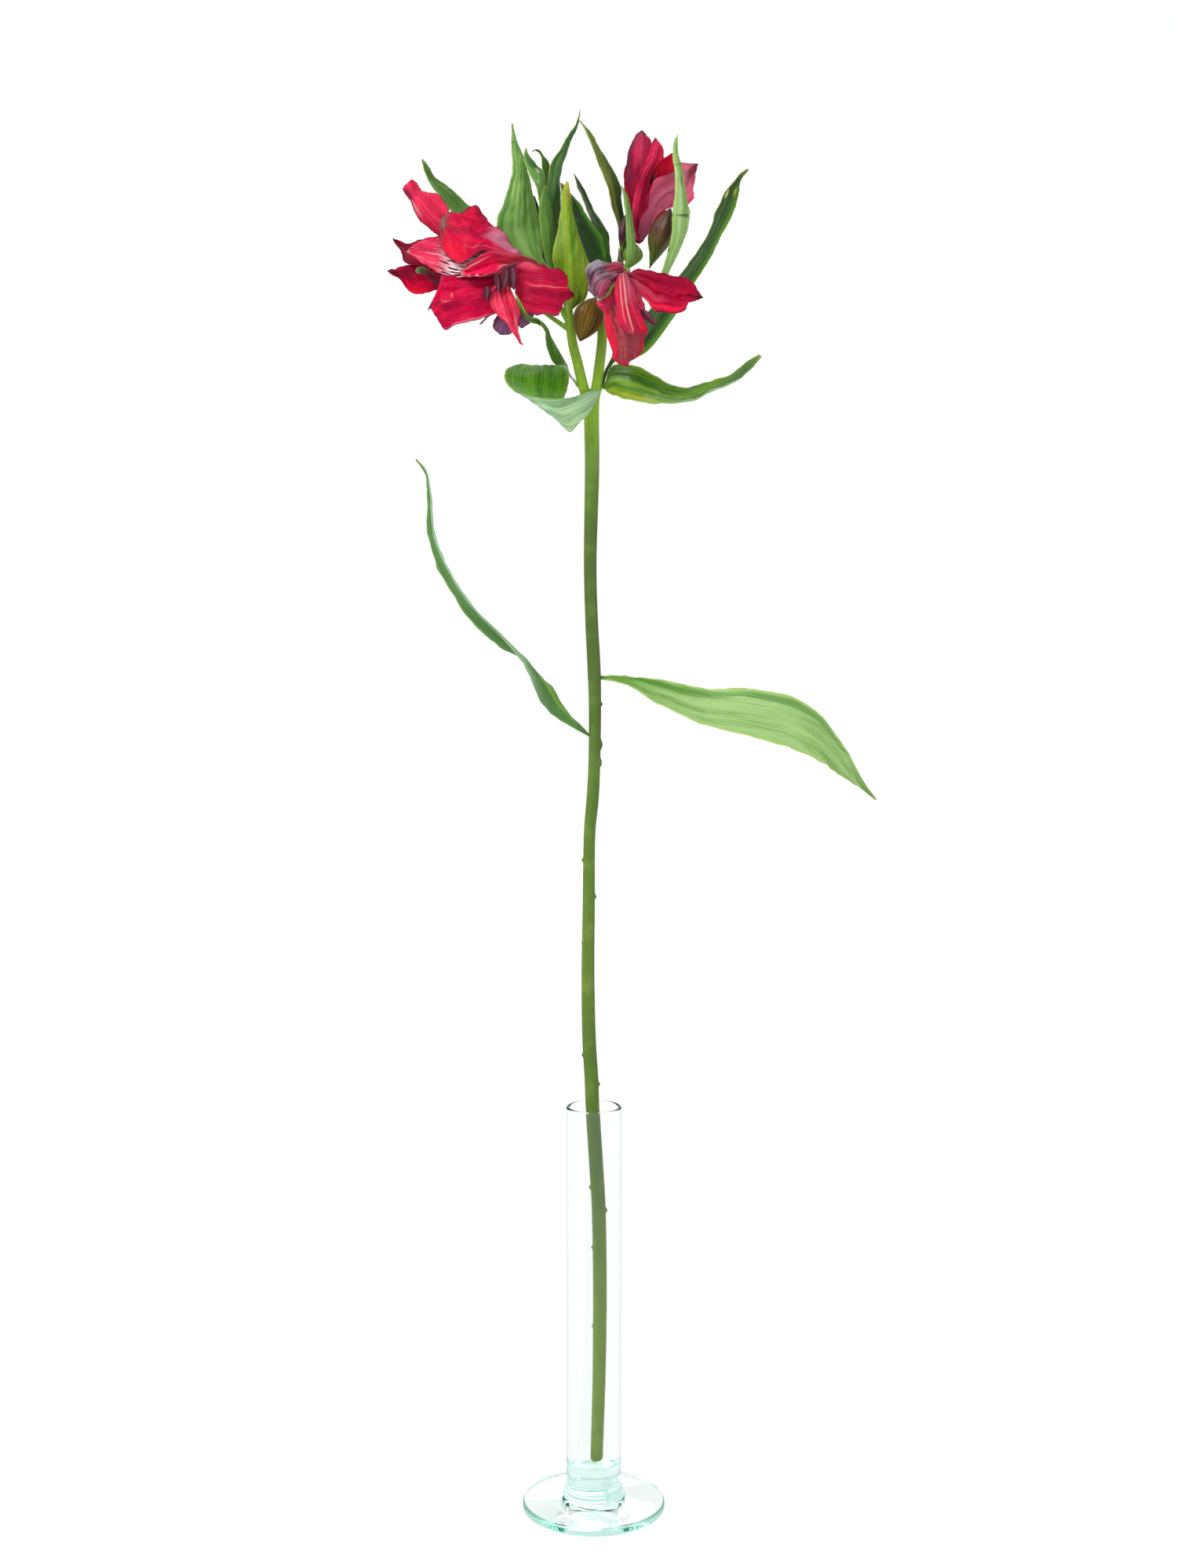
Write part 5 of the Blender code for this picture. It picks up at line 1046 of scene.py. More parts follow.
BLOOM_TOP = {
    "left": [
        ((17.4, -5, 527.1), (17.9, -7, 526.8)),
        ((15.4, -5, 533.1), (17.9, -9, 532.5)),
        ((14.4, -5, 539), (17.6, -11, 538)),
        ((13.9, -5, 544), (17.5, -13, 543.1)),
        ((13.5, -5, 549.1), (18.5, -14, 547.6)),
        ((12.9, -5, 553.7), (20, -15, 552)),
        ((13, -4.5, 558.4), (21.2, -15, 556.6)),
        ((13.5, -4, 562.4), (21.9, -14, 560.6)),
        ((15.1, -3.5, 565.2), (22.1, -12, 563.8)),
        ((17.1, -3, 568), (21, -8, 566.1)),
        ((18.5, -3, 569.2), (19.8, -6, 568.4)),
    ],
    "keel": [
        ((17.5, -8, 526.7), (18.1, -8, 526.7)),
        ((15, -12, 532.1), (17.6, -12, 531.7)),
        ((14.4, -14, 536.4), (19.3, -14, 535.3)),
        ((14.5, -16, 540.4), (20.9, -16, 539.2)),
        ((15.3, -17.5, 544.3), (21.4, -17, 544)),
        ((16.8, -18.5, 548), (22.3, -17.5, 548.5)),
        ((18.6, -19, 551.3), (24.3, -17.5, 552.4)),
        ((20.1, -19, 554.8), (27, -17, 555.5)),
        ((21.3, -18.5, 558.3), (27.2, -16, 558.3)),
        ((22.3, -17, 561.6), (26.1, -15, 561.8)),
        ((23.7, -15, 564.1), (24.3, -14, 564.4)),
    ],
    "inner": [
        ((17.8, -3, 527.6), (18.4, -4, 527.4)),
        ((19.9, -4, 539.1), (23.9, -4, 539.1)),
        ((22.1, -4, 546.9), (29.5, -4, 546.9)),
        ((22.7, -3.5, 552.4), (32.6, -3, 552.5)),
        ((23.9, -3, 555.6), (33.7, -2, 556.1)),
        ((26.3, -2.5, 557.8), (33.3, -1.5, 559)),
        ((28.7, -2, 559.1), (31.9, -1, 560.6)),
        ((30.3, -1.5, 560.4), (31.3, -1, 560.9)),
    ],
    "right": [
        ((17.5, -8, 526.5), (18.4, -6, 525.8)),
        ((17.6, -13, 530.8), (21.1, -8, 527.8)),
        ((19.1, -15.5, 534.3), (23.2, -9.5, 532.9)),
        ((20.8, -18, 538.5), (26.1, -10.5, 535.8)),
        ((21.3, -20, 542.4), (29.6, -11, 537.5)),
        ((22.8, -21, 546.1), (33.2, -11, 538.2)),
        ((25.7, -21.5, 547.9), (36.9, -10.5, 539.4)),
        ((28.8, -21.5, 549.4), (38.8, -9.5, 541)),
        ((31.2, -20, 551), (39.6, -9, 543.4)),
        ((32.9, -17.5, 553.1), (39.2, -8.5, 546.5)),
        ((33.8, -15, 554.8), (40, -8, 550.1)),
        ((37.4, -11, 555.2), (40.8, -7.5, 553.7)),
        ((40.5, -8, 555.5), (41.2, -7, 555.6)),
    ],
    "back_left": [
        ((17, -3, 527.5), (18, -1, 528)),
        ((14.5, 3, 537), (20.5, 7, 538.5)),
        ((12.5, 5, 548), (23.5, 12, 550.5)),
        ((12, 5, 555.5), (25, 13, 560)),
        ((15.5, 5, 561.5), (24.5, 11, 565)),
        ((20.5, 7, 565.5), (23, 9, 565.5)),
    ],
    "back_right": [
        ((18, -2, 528), (19.5, -3, 527.5)),
        ((21, 8, 537.5), (26.5, 3, 536.5)),
        ((24, 13, 547.5), (33.5, 5, 544.5)),
        ((27, 14, 555), (38, 6, 549.5)),
        ((31.5, 12, 557), (37.5, 7, 553.5)),
    ],
}
BLOOM_LEFT = {
    "up": [
        ((-53.7, -9, 517.6), (-53.2, -7, 518.5)),
        ((-57.7, -13, 523.7), (-54.6, -10, 528)),
        ((-61.7, -15, 527.3), (-56.7, -12, 534.1)),
        ((-65.8, -17, 530.2), (-57.9, -12.5, 537.8)),
        ((-69.3, -18, 533.4), (-60.3, -13, 541.6)),
        ((-71.2, -18, 537), (-63.1, -13, 543.9)),
        ((-72, -17.5, 539.9), (-66.3, -13, 544.6)),
        ((-73.2, -16.5, 542.6), (-68.6, -13, 545.5)),
        ((-74.9, -15, 545.1), (-70.2, -13, 547.8)),
        ((-73.9, -14.5, 546.7), (-71.6, -13.5, 548.9)),
    ],
    "mid": [
        ((-53.6, -11, 517), (-54, -9, 518.2)),
        ((-59.5, -16, 515.4), (-59.6, -13, 521.8)),
        ((-65.8, -19, 514.1), (-65.3, -16, 524.9)),
        ((-70.5, -20, 514.6), (-70.1, -16, 524.5)),
        ((-74.1, -20, 516.5), (-73.3, -17, 523.7)),
        ((-74.9, -19.5, 520), (-76.2, -17, 524)),
        ((-77.1, -18.5, 522), (-77.8, -17.5, 524.7)),
        ((-78.8, -18, 524.8), (-79.1, -18, 525.7)),
    ],
    "low": [
        ((-53.6, -12, 515.9), (-53.6, -11, 517)),
        ((-57.5, -17, 506.7), (-58.3, -14, 514)),
        ((-62, -19, 505), (-62.7, -16, 515.1)),
        ((-65.8, -20, 503.8), (-66.6, -17, 515.3)),
        ((-69.3, -21, 503.3), (-70.1, -17.5, 515.2)),
        ((-72.5, -21, 504.6), (-73.3, -18, 515.1)),
        ((-74.4, -20.5, 507.2), (-75.6, -18, 514.1)),
        ((-76.1, -19.5, 509.2), (-77.8, -18, 513)),
        ((-79.2, -18, 511.1), (-79.8, -17.5, 513)),
        ((-81.2, -17, 512.9), (-81.2, -17, 513.1)),
    ],
    "green_tip": [
        ((-53.4, -14, 515.6), (-53.4, -14, 516.6)),
        ((-59.3, -20, 505.7), (-58.7, -19, 510.9)),
        ((-63.7, -22, 508.3), (-62.4, -21.5, 511.5)),
        ((-66.4, -23.5, 510.3), (-65.5, -22.5, 513)),
        ((-68.6, -24, 511), (-67.7, -23, 514)),
        ((-70.1, -23, 511.7), (-69.7, -22.5, 513.1)),
    ],
    "back_up": [
        ((-53.5, -6, 519), (-52.5, -5, 518.5)),
        ((-57, 2, 525.5), (-52.5, 4, 526)),
        ((-61, 8, 531.5), (-53.5, 11, 532.5)),
        ((-63, 12, 535.5), (-57, 14, 537)),
    ],
    "back_low": [
        ((-53.5, -7, 517), (-52.5, -5, 518)),
        ((-58, 0, 513), (-52.5, 3, 512.5)),
        ((-62.5, 7, 510), (-55.5, 10, 509)),
        ((-63.5, 12, 508), (-59, 13, 507)),
    ],
}
BLOOM_UNDER = {
    "left": [
        ((-28.5, -17, 501), (-27.5, -17, 500)),
        ((-33.5, -20, 498), (-30, -19, 495)),
        ((-38, -22, 494.5), (-31, -20, 491.5)),
        ((-39.5, -22, 491), (-32.5, -20, 488.5)),
        ((-38.5, -21, 488.5), (-34.5, -20, 487.5)),
    ],
    "right": [
        ((-28.5, -15, 500), (-27.5, -13, 500.5)),
        ((-29.5, -18, 495.5), (-25, -14, 497)),
        ((-29.5, -18, 492.5), (-24.5, -15, 494.5)),
        ((-29, -17, 490.5), (-25.5, -16, 492)),
    ],
    "strand": [
        ((-29, -16, 500.5), (-28, -15, 501.5)),
        ((-36, -22, 498), (-35, -21, 499.5)),
        ((-41, -24, 495), (-39.5, -23, 496.5)),
        ((-45, -24, 491.5), (-44, -24, 491.5)),
    ],
    "back": [
        ((-28, -13, 501.5), (-27, -12, 501)),
        ((-33, -8, 499.5), (-28, -6, 497.5)),
        ((-36, -4, 496.5), (-30.5, -2, 494)),
        ((-36.5, -3, 493.5), (-33, -2, 491.5)),
    ],
}
print("petal edges read")

# %% Paths of the stem, rays and flower stalks, and places of the anthers
# Stem: cut end on the vase floor, leaning on the front of the rim, up to the fork
STEM_PATH = [(1.2, 4.3, 18.5), (1.6, 3.2, 32), (2.2, 0, 55), (2.5, -1.8, 80), (2.5, -3.2, 103),
             (2, -4.9, 131), (0.9, -5.4, 151), (-0.5, -5.8, 174), (-1, -6.5, 187), (-2, -7.6, 205),
             (-2.4, -9, 232), (-2.1, -10, 258), (-1.8, -11, 288), (-0.5, -11.7, 304), (0.2, -12.2, 320),
             (0.4, -13, 341), (0, -13.6, 357), (-1, -14.4, 377), (-1.5, -15.2, 400), (-0.8, -16.5, 435),
             (-1, -17.3, 455), (-1, -18, 465)]
STEM_RADII = [2.7, 2.75, 2.8, 2.9, 2.9, 2.9, 2.9, 2.9, 2.9, 2.85, 2.7, 2.55, 2.4, 2.55, 2.45, 2.55, 2.7, 2.6,
              2.6, 2.9, 3.0, 3.2]
RAY_LEFT = [(-1.5, -18, 461), (-4, -19, 467), (-6.5, -20, 477), (-8.5, -20, 485), (-10, -19.2, 497),
            (-11.5, -17, 505), (-13.5, -15, 512)]
RAY_RIGHT = [(-0.5, -18, 461), (1, -18, 468), (3, -18, 484), (3.2, -18, 492), (3.8, -17, 500),
             (6.5, -14, 508), (9, -12, 512)]
RAY_RADII = [2.2, 2.1, 2.0, 1.9, 1.7, 1.6, 1.7]
PEDICEL_RADII = [1.1, 1.0, 0.9, 1.0]
PEDICELS = {
    "front": [(-10, -19.2, 492.5), (-12.3, -20.4, 496.5), (-13.8, -21, 500.5), (-14.9, -21.6, 503.8)],
    "under": [(-10, -19.2, 490), (-14.5, -17.2, 493.3), (-17.5, -15.6, 495.5), (-20, -14.5, 497.6)],
    "left": [(-13.5, -15, 511), (-21, -9.5, 511), (-32, -5.5, 512.5), (-44.6, -4.5, 515.3)],
    "right": [(7, -13.5, 508.5), (9.5, -15, 511), (11.2, -17, 512), (12, -19, 512)],
    "bud front": [(3.6, -17.6, 497.5), (4.2, -21, 501.5), (3, -25, 503.4), (0.8, -26.9, 502.3)],
    "top": [(8.5, -12, 511), (10, -10, 512), (12, -8, 513), (13.3, -7, 514.2)],
    "bud right": [(8, -12.5, 511), (13.5, -11.5, 509), (19, -11.8, 510), (21.5, -12.8, 513.3)],
    "bud small": [(11.2, -9.2, 512.5), (11.6, -8.1, 515), (10.6, -4.8, 518.5), (10.5, -3.4, 523.6)],
}
# Leaf scars and nubs on the stem: height, angle about it (0 is +X, -90 the front) and length
NUBS = [(341.5, -10, 1.6), (325, -5, 5.0), (318, -15, 4.5), (277, 185, 1.8), (263, -10, 2.2),
        (243.5, -140, 3.2), (217, -50, 3.0), (196.5, 200, 2.4), (184, -5, 1.8), (150, -110, 1.6),
        (140, 180, 1.8), (130, 0, 2.2), (113, 175, 1.2), (79.5, 170, 1.2)]
NUB_DEPTH = 0.85
# Anthers of each flower: their middle, the way they point, their length and their radius
STAMENS_FRONT = [((-30.9, -48, 506.2), (0.08, -0.1, -1), 9.0, 1.5),
                 ((-33.8, -49.3, 506), (-0.12, -0.1, -1), 8.6, 1.5),
                 ((-36.5, -48.5, 504.4), (0.15, -0.1, -1), 7.6, 1.3),
                 ((-40.8, -47.5, 500.5), (-0.1, -0.1, -1), 6.0, 1.5),
                 ((-31.4, -46.5, 511.2), (1, 0, 0.35), 5.0, 1.0)]
STAMENS_RIGHT = [((21, -40, 492.4), (0.72, 0, -0.69), 8.6, 1.35),
                 ((14, -40.8, 493), (0.1, 0, -1), 4.5, 1.2)]
STAMENS_TOP = [((23, -9, 549.4), (0.2, 0, 1), 4.5, 1.2), ((26.5, -6, 547.4), (0.3, 0, 1), 4.5, 1.2),
               ((21, -6, 546.4), (0, 0.1, 1), 4.5, 1.2)]
STAMENS_LEFT = [((-68.6, -4, 520.2), (-1, 0, 0.3), 4.5, 1.2), ((-67.6, -0.9, 516), (-1, 0.2, 0), 4.5, 1.2),
                ((-64.6, 1.2, 521.2), (-1, 0.3, 0.3), 4.5, 1.2)]
print("stem path read")

# %% [markdown]
# ## Leaves
# Alstroemeria leaves twist at the base, so that the underside often faces up. Each one gets the skin
# of the side that it shows, and the other skin behind.

# %% A leaf in the place of its solid
SLIM = dict(across=16, pleats=3, pleat=0.1, frill=0.4, ragged=0.25, crumple=0.4)


def leaf(node, rows, slot, far, near, root, seed, **shape):
    """One leaf. far and near are the skins of its two faces, seen with the base below."""
    kit = dict(steps=80, across=20, pleats=5, pleat=0.12, frill=0.5, ragged=0.3, crumple=0.5)
    kit.update(shape)
    finish_piece(blade(node + "_grown", rows, (far, near), root, seed=seed, **kit), node)


# %% The two leaves half way up the stem
leaf("leaf_mid_left", LEAF_MID_LEFT, "green_leaf", MID_SLIM, MID_SLIM, (-1.4, -12.4, 328.6), 1, steps=90,
     dish=-1.2, pleat=0.1, ragged=0.25)
leaf("leaf_mid_right", LEAF_MID_RIGHT, "pale_leaf", LEAF_MID, MID_BROAD, (1.6, -13.4, 352.6), 2, steps=90,
     across=24, dish=1.8, pleats=7, frill=0.6, ragged=0.25, crumple=0.6)

# %% The four leaves of the whorl under the fork
leaf("leaf_whorl_right", LEAF_WHORL_RIGHT, "green_leaf", LEAF_BLUE, WHORL_BRIGHT, (1.9, -18.2, 467.4), 3,
     across=24, dish=2.5, pleat=0.14, frill=0.6)
leaf("leaf_whorl_loop", LEAF_WHORL_LOOP, "pale_leaf", LEAF_BLUE, LOOP_FACE, (0.3, -19.4, 465.6), 4, steps=110,
     across=24, dish=0.6, pleats=6, ragged=0.25, crumple=0.4)
leaf("leaf_whorl_twist", LEAF_WHORL_TWIST, "green_leaf", TWIST, TWIST, (-2.2, -16.6, 465), 5, steps=100,
     dish=0.8, pleat=0.1, ragged=0.25, crumple=0.4)
leaf("leaf_whorl_tall", LEAF_WHORL_TALL, "dark_leaf", LEAF_MID, TALL_WHORL, (0.6, -15.9, 466), 6, steps=90,
     dish=1.5, frill=0.6, crumple=0.6)

# %% Leaves of the left ray
leaf("leaf_broad_pale", LEAF_BROAD_PALE, "pale_leaf", LEAF_MID, BROAD_PALE, (-15.4, -14.6, 511), 7,
     across=24, dish=-2.0, pleats=6, pleat=0.14)
leaf("leaf_front_yellow", LEAF_FRONT_YELLOW, "pale_leaf", LEAF_MID, FRONT_YELLOW, (-9.8, -20, 496.9), 8,
     steps=64, across=24, dish=-2.0, frill=0.4, crumple=0.6)
leaf("leaf_tall_dark", LEAF_TALL_DARK, "dark_leaf", LEAF_DEEP, TALL_DARK, (-14, -13.6, 512.6), 9,
     dish=-0.8, pleats=4)
leaf("leaf_hook", LEAF_HOOK, "green_leaf", LEAF_DEEP, LEAF_MID, (-13.8, -13.4, 510.8), 10, steps=70, **SLIM)
leaf("leaf_curl", LEAF_CURL, "green_leaf", LEAF_DEEP, CURL, (-15.2, -15.4, 511.8), 11, steps=60, **SLIM)
leaf("leaf_slim_mid", LEAF_SLIM_MID, "green_leaf", LEAF_DEEP, LEAF_MID, (-14.4, -16.2, 510.4), 12,
     steps=50, dish=-0.8, **SLIM | dict(frill=0.3))
leaf("leaf_slim_dark", LEAF_SLIM_DARK, "dark_leaf", LEAF_SHADE, LEAF_SHADE, (-15, -13.6, 511.6), 13,
     steps=50, across=12, pleats=3, pleat=0.08, frill=0.3, ragged=0.2, crumple=0.3)
leaf("leaf_far_left", LEAF_FAR_LEFT, "green_leaf", LEAF_DEEP, LEAF_MID, (-14.4, -13.4, 508.9), 14, dish=0.8)

# %% Leaves of the right ray
leaf("leaf_dark_broad", LEAF_DARK_BROAD, "dark_leaf", LEAF_MID, DARK_BROAD, (7, -12.8, 510.6), 15,
     steps=64, across=24, dish=1.0, pleats=6)
leaf("leaf_dark_slim", LEAF_DARK_SLIM, "dark_leaf", LEAF_DEEP, DARK_SLIM, (8.2, -11.4, 511.4), 16,
     steps=60, dish=0.8, **SLIM)
leaf("leaf_tall_arch", LEAF_TALL_ARCH, "dark_leaf", LEAF_MID, TALL_ARCH, (8.8, -10.2, 512), 17, dish=0.8)
leaf("leaf_small_front", LEAF_SMALL_FRONT, "pale_leaf", LEAF_MID, LEAF_PALE, (9.8, -13, 511.8), 18,
     steps=50, dish=-0.5, **SLIM)
leaf("leaf_pale_right", LEAF_PALE_RIGHT, "pale_leaf", LEAF_MID, PALE_RIGHT, (20, -12.6, 510.2), 19,
     dish=-1.0, pleats=4)

# %% [markdown]
# ## Flowers
# Each tepal grows from a narrow claw at the flower's heart. The tepals of one flower are joined into
# one piece, as they are in the solid.

# %% Pods: hearts, buds, ovaries and anthers
def pod(name, base, tip, radius, skin, sides=48, rings=32, ridges=3, ridge=0.1, fullest=0.45, point=1.0,
        laps=0, lap=0.0, twist=0.0, dent=0.0):
    """A shape round about the line from base to tip, fullest at a share of the way along it.

    ridges run lengthwise, each standing out by a share of the radius, and point below 1 blunts the
    ends. laps tepals overlap around it, each one's margin standing lap above the next, and twist
    turns the margins along the way. dent is the depth of soft hollows.
    """
    base, tip = Vector(base), Vector(tip)
    axis = (tip - base).normalized()
    side = axis.orthogonal().normalized()
    other = axis.cross(side)
    length = (tip - base).length
    bm = mapped_bmesh()
    bmesh.ops.create_uvsphere(bm, u_segments=sides, v_segments=rings, radius=1)
    spots = {}
    for corner in bm.verts:
        t = (corner.co.z + 1) / 2
        angle = math.atan2(corner.co.y, corner.co.x)
        bulge = t ** (math.log(0.5) / math.log(fullest))
        width = math.sin(math.pi * bulge) ** point if 0 < bulge < 1 else 0.0
        width *= radius * (1 + ridge * math.cos(ridges * angle))
        turn = (angle / math.tau + twist * t) * laps
        if laps and 0 < t < 1:
            width += lap * ((turn % 1) ** 3 - 0.4) * math.sin(math.pi * t) ** 0.5
        spot = Vector((math.cos(angle) * 0.9, math.sin(angle) * 0.9, t * length / 4)) + base
        if 0 < t < 1:
            width = max(0.02, width + dent * noise.noise(spot) * math.sin(math.pi * t))
        corner.co = base.lerp(tip, t) + (side * math.cos(angle) + other * math.sin(angle)) * width
        spots[corner] = (t, (angle / math.tau) % 1)
    wrap(bm, spots, length, math.tau * radius)
    return piece(name, bm, [skin])


def ball(name, middle, radius, skin, sides, rings):
    """A plain round pod, as high as it is wide."""
    middle, rise = Vector(middle), Vector((0, 0, radius))
    return pod(name, middle - rise, middle + rise, radius, skin, sides, rings, ridge=0)


# %% A flower from its tepals
def flower(node, heart, heart_radius, tepals, skins, shapes):
    """A flower's tepals. skins gives each one's far and near face; shapes changes its wrinkles."""
    heart = Vector(heart)
    parts = [ball("heart", heart, heart_radius, WINE, 24, 16)]
    for number, (key, rows) in enumerate(tepals.items()):
        claw = heart.lerp((Vector(rows[0][0]) + Vector(rows[0][1])) / 2, 0.25)
        shape = dict(steps=60, across=28, dish=1.2, ruffle=0.55, pleats=4, pleat=0.09, frill=0.7,
                     ragged=0.5, crumple=0.7, thick=0.45)
        shape.update(shapes.get(key, {}))
        parts.append(blade(key, rows, skins[key], claw, waves=1.5 + 0.25 * number,
                           seed=float(heart.x + 3 * number), **shape))
    finish_piece(joined(node + "_grown", parts), node)


# %% Front flower
flower("bloom_front", (-19.8, -28.2, 512), 2.4, BLOOM_FRONT, {
    "top": (PETAL_BACK, FRONT_TOP),
    "stripe_left": (PETAL_BACK, FRONT_STRIPED),
    "stripe_fold": (PETAL_BACK, FRONT_FOLD),
    "low_left": (FRONT_LOW, PETAL_BACK),
    "right": (PETAL_BACK, FRONT_RIGHT),
    "low_inner": (FRONT_INNER, PETAL_BACK),
}, {
    "top": dict(crumple=1.2, frill=1.1, ragged=0.7, fold=-1.0),
    "stripe_fold": dict(fold=1.6),
    "right": dict(crumple=1.1, ragged=0.9, pleats=5, fold=-1.2),
    "low_left": dict(crumple=1.3, pleats=5),
    "low_inner": dict(crumple=1.2, pleat=0.3, pleats=5),
})

# %% Right flower, half withered
flower("bloom_right", (12.2, -27, 509.5), 2.2, BLOOM_RIGHT, {
    "shrivelled": (WITHERED, WITHERED),
    "stripe_front": (RIGHT_STRIPED, DUSKY),
    "low": (RIGHT_LOW, DUSKY),
    "right": (DUSKY, RIGHT_SIDE),
    "left_edge": (RIGHT_FLAP, DUSKY),
    "back": (RIGHT_FLAP, DUSKY),
}, {
    "shrivelled": dict(crumple=2.4, pleat=0.3, pleats=6, frill=1.5, ragged=1.0),
    "stripe_front": dict(fold=1.2, pleat=0.2),
    "right": dict(fold=1.8, crumple=1.0),
    "low": dict(crumple=1.2),
    "left_edge": dict(crumple=1.2),
})

# %% Top flower, seen from outside
flower("bloom_top", (17.8, -5, 527), 2.2, BLOOM_TOP, {
    "left": (CRIMSON, TOP_LEFT),
    "keel": (CRIMSON, TOP_KEEL),
    "inner": (TOP_INNER, TOP_INNER),
    "right": (CRIMSON, TOP_RIGHT),
    "back_left": (DUSKY, TOP_INNER),
    "back_right": (DUSKY, TOP_INNER),
}, {"left": dict(fold=-1.2), "keel": dict(fold=-2.0), "right": dict(fold=-1.0)})

# %% Left flower, facing away
flower("bloom_left", (-53.5, -9, 517.5), 2.2, BLOOM_LEFT, {
    "up": (CRIMSON, LEFT_UP),
    "mid": (CRIMSON, LEFT_MID),
    "low": (CRIMSON, LEFT_LOW),
    "green_tip": (CRIMSON, LEAFY_TIP),
    "back_up": (DUSKY, CRIMSON),
    "back_low": (DUSKY, CRIMSON),
}, {"up": dict(fold=-1.4), "low": dict(fold=1.0)})

# %% Withered flower under the front one
flower("bloom_under", (-27.8, -15, 500.5), 2.0, BLOOM_UNDER, {
    "left": (MAUVE, MAUVE),
    "right": (MAUVE, MAUVE),
    "strand": (WITHERED, WINE),
    "back": (MAUVE, MAUVE),
}, {"left": dict(crumple=1.1), "right": dict(crumple=1.1)})

# %% [markdown]
# ## Stamens, ovaries and buds

# %% Skins of the small parts
ANTHER = plant_skin("anther skin dusted with pollen", "#2c0e18", "#602636", vein="#7c5864", edge="#1c0c14",
                    tip="#381c28", base="#401c2c", rough=0.8, shine=0.1, veins=2.0, vein_show=0.6, glow=0.02,
                    edge_width=0.02, bump=0.8)[-1]()
FILAMENT = plant_skin("filament, a thin smooth thread", "#a51240", "#d4486b", vein="#a51240",
                      edge="#8a1a3c", tip="#6a2238", base="#b86a7c", rough=0.35, glow=0.15, bump=0.1,
                      base_to=0.3)[-1]()
OVARY = plant_skin("ovary skin, ribbed and waxy", "#4d6f22", "#7f9c3c", vein="#3c5420", edge="#5f7c30",
                   tip="#6b4a3a", base="#7d9b45", rough=0.4, veins=6.0, vein_show=0.7, glow=0.08,
                   tip_from=0.7, edge_width=0.01)[-1]()
BUD_OLIVE = plant_skin("bud skin, dry olive brown tepals", "#382808", "#806016", vein="#1c1406",
                       edge="#463210", tip="#201808", base="#4c4418", veins=22.0, vein_show=0.6,
                       glow=0.03, edge_width=0.01, base_to=0.35, bump=0.9, mottle=0.2)[-1]()
BUD_PURPLE = plant_skin("bud skin, purple brown tepals", "#2e1814", "#6a4630", vein="#1a0e0c",
                        edge="#2c1814", tip="#2c1214", base="#3f6a18", rough=0.4, veins=20.0,
                        vein_show=0.5, glow=0.03, edge_width=0.01, base_to=0.62, bump=0.8,
                        mottle=0.25)[-1]()
BUD_DARK = plant_skin("bud skin, dark purple", "#2b0f20", "#54263c", vein="#1a0812", edge="#3c1a2c",
                      tip="#1c0a14", base="#7a6a3a", rough=0.4, glow=0.04, edge_width=0.01,
                      base_to=0.2)[-1]()
print("skins of the small parts made")


# %% A round shoot along a smooth curve
def tube(name, points, radii, skin, steps, rounding):
    """Radii are read along the same curve as the points. Tubes carry the same two map layers."""
    path = [Vector(point) for point in points]
    widths = [Vector((radius, 0, 0)) for radius in radii]
    length = sum((path[i + 1] - path[i]).length for i in range(len(path) - 1))
    bm = mapped_bmesh()
    bmesh.ops.create_uvsphere(bm, u_segments=rounding, v_segments=steps, radius=1)
    levels = sorted({round(corner.co.z, 5) for corner in bm.verts})
    last = len(levels) - 1
    side = Vector((1, 0, 0))
    frames = []
    for step in range(last + 1):
        t = step / last
        ahead = (along(path, min(t + 0.01, 1)) - along(path, max(t - 0.01, 0))).normalized()
        side = (side - ahead * side.dot(ahead)).normalized()
        frames.append((along(path, t), side.copy(), ahead.cross(side), along(widths, t).x))
    spots = {}
    for corner in bm.verts:
        step = levels.index(round(corner.co.z, 5))
        place, right, up, radius = frames[step]
        angle = math.atan2(corner.co.y, corner.co.x)
        if step in (0, last):
            radius = 0.0
        spots[corner] = (step / last, (angle / math.tau) % 1)
        corner.co = place + (right * math.cos(angle) + up * math.sin(angle)) * radius
    wrap(bm, spots, length, math.tau * max(radii))
    return piece(name, bm, [skin])


# %% Stamens: filaments from one small base, each with an anther
FILAMENT_RADII = [0.48, 0.4, 0.3]


def stamens(node, heart, anthers, sag=0.0):
    """Threads that thin towards the anther. A ripe anther is split in two lobes and sheds pollen."""
    heart = Vector(heart)
    parts = [ball("base", heart, 1.1, FILAMENT, 16, 10)]
    for place, aim, length, radius in anthers:
        place, aim = Vector(place), Vector(aim).normalized()
        middle = (heart + place) / 2 + Vector((0, 0, sag))
        parts.append(tube("filament", [heart, middle, place], FILAMENT_RADII, FILAMENT, 24, 10))
        half = aim * (length / 2)
        parts.append(pod("anther", place - half, place + half, radius, ANTHER, 40, 28, 2, 0.24, point=0.75,
                         dent=0.5))
    finish_piece(joined(node + "_grown", parts), node)


stamens("stamens_front", (-30.5, -41.4, 505.7), STAMENS_FRONT, 1.0)
stamens("stamens_right", (12.4, -38, 501.8), STAMENS_RIGHT)
stamens("stamens_top", (19.2, -7.2, 535.4), STAMENS_TOP)
stamens("stamens_left", (-56.4, -7.8, 518.1), STAMENS_LEFT, 1.0)

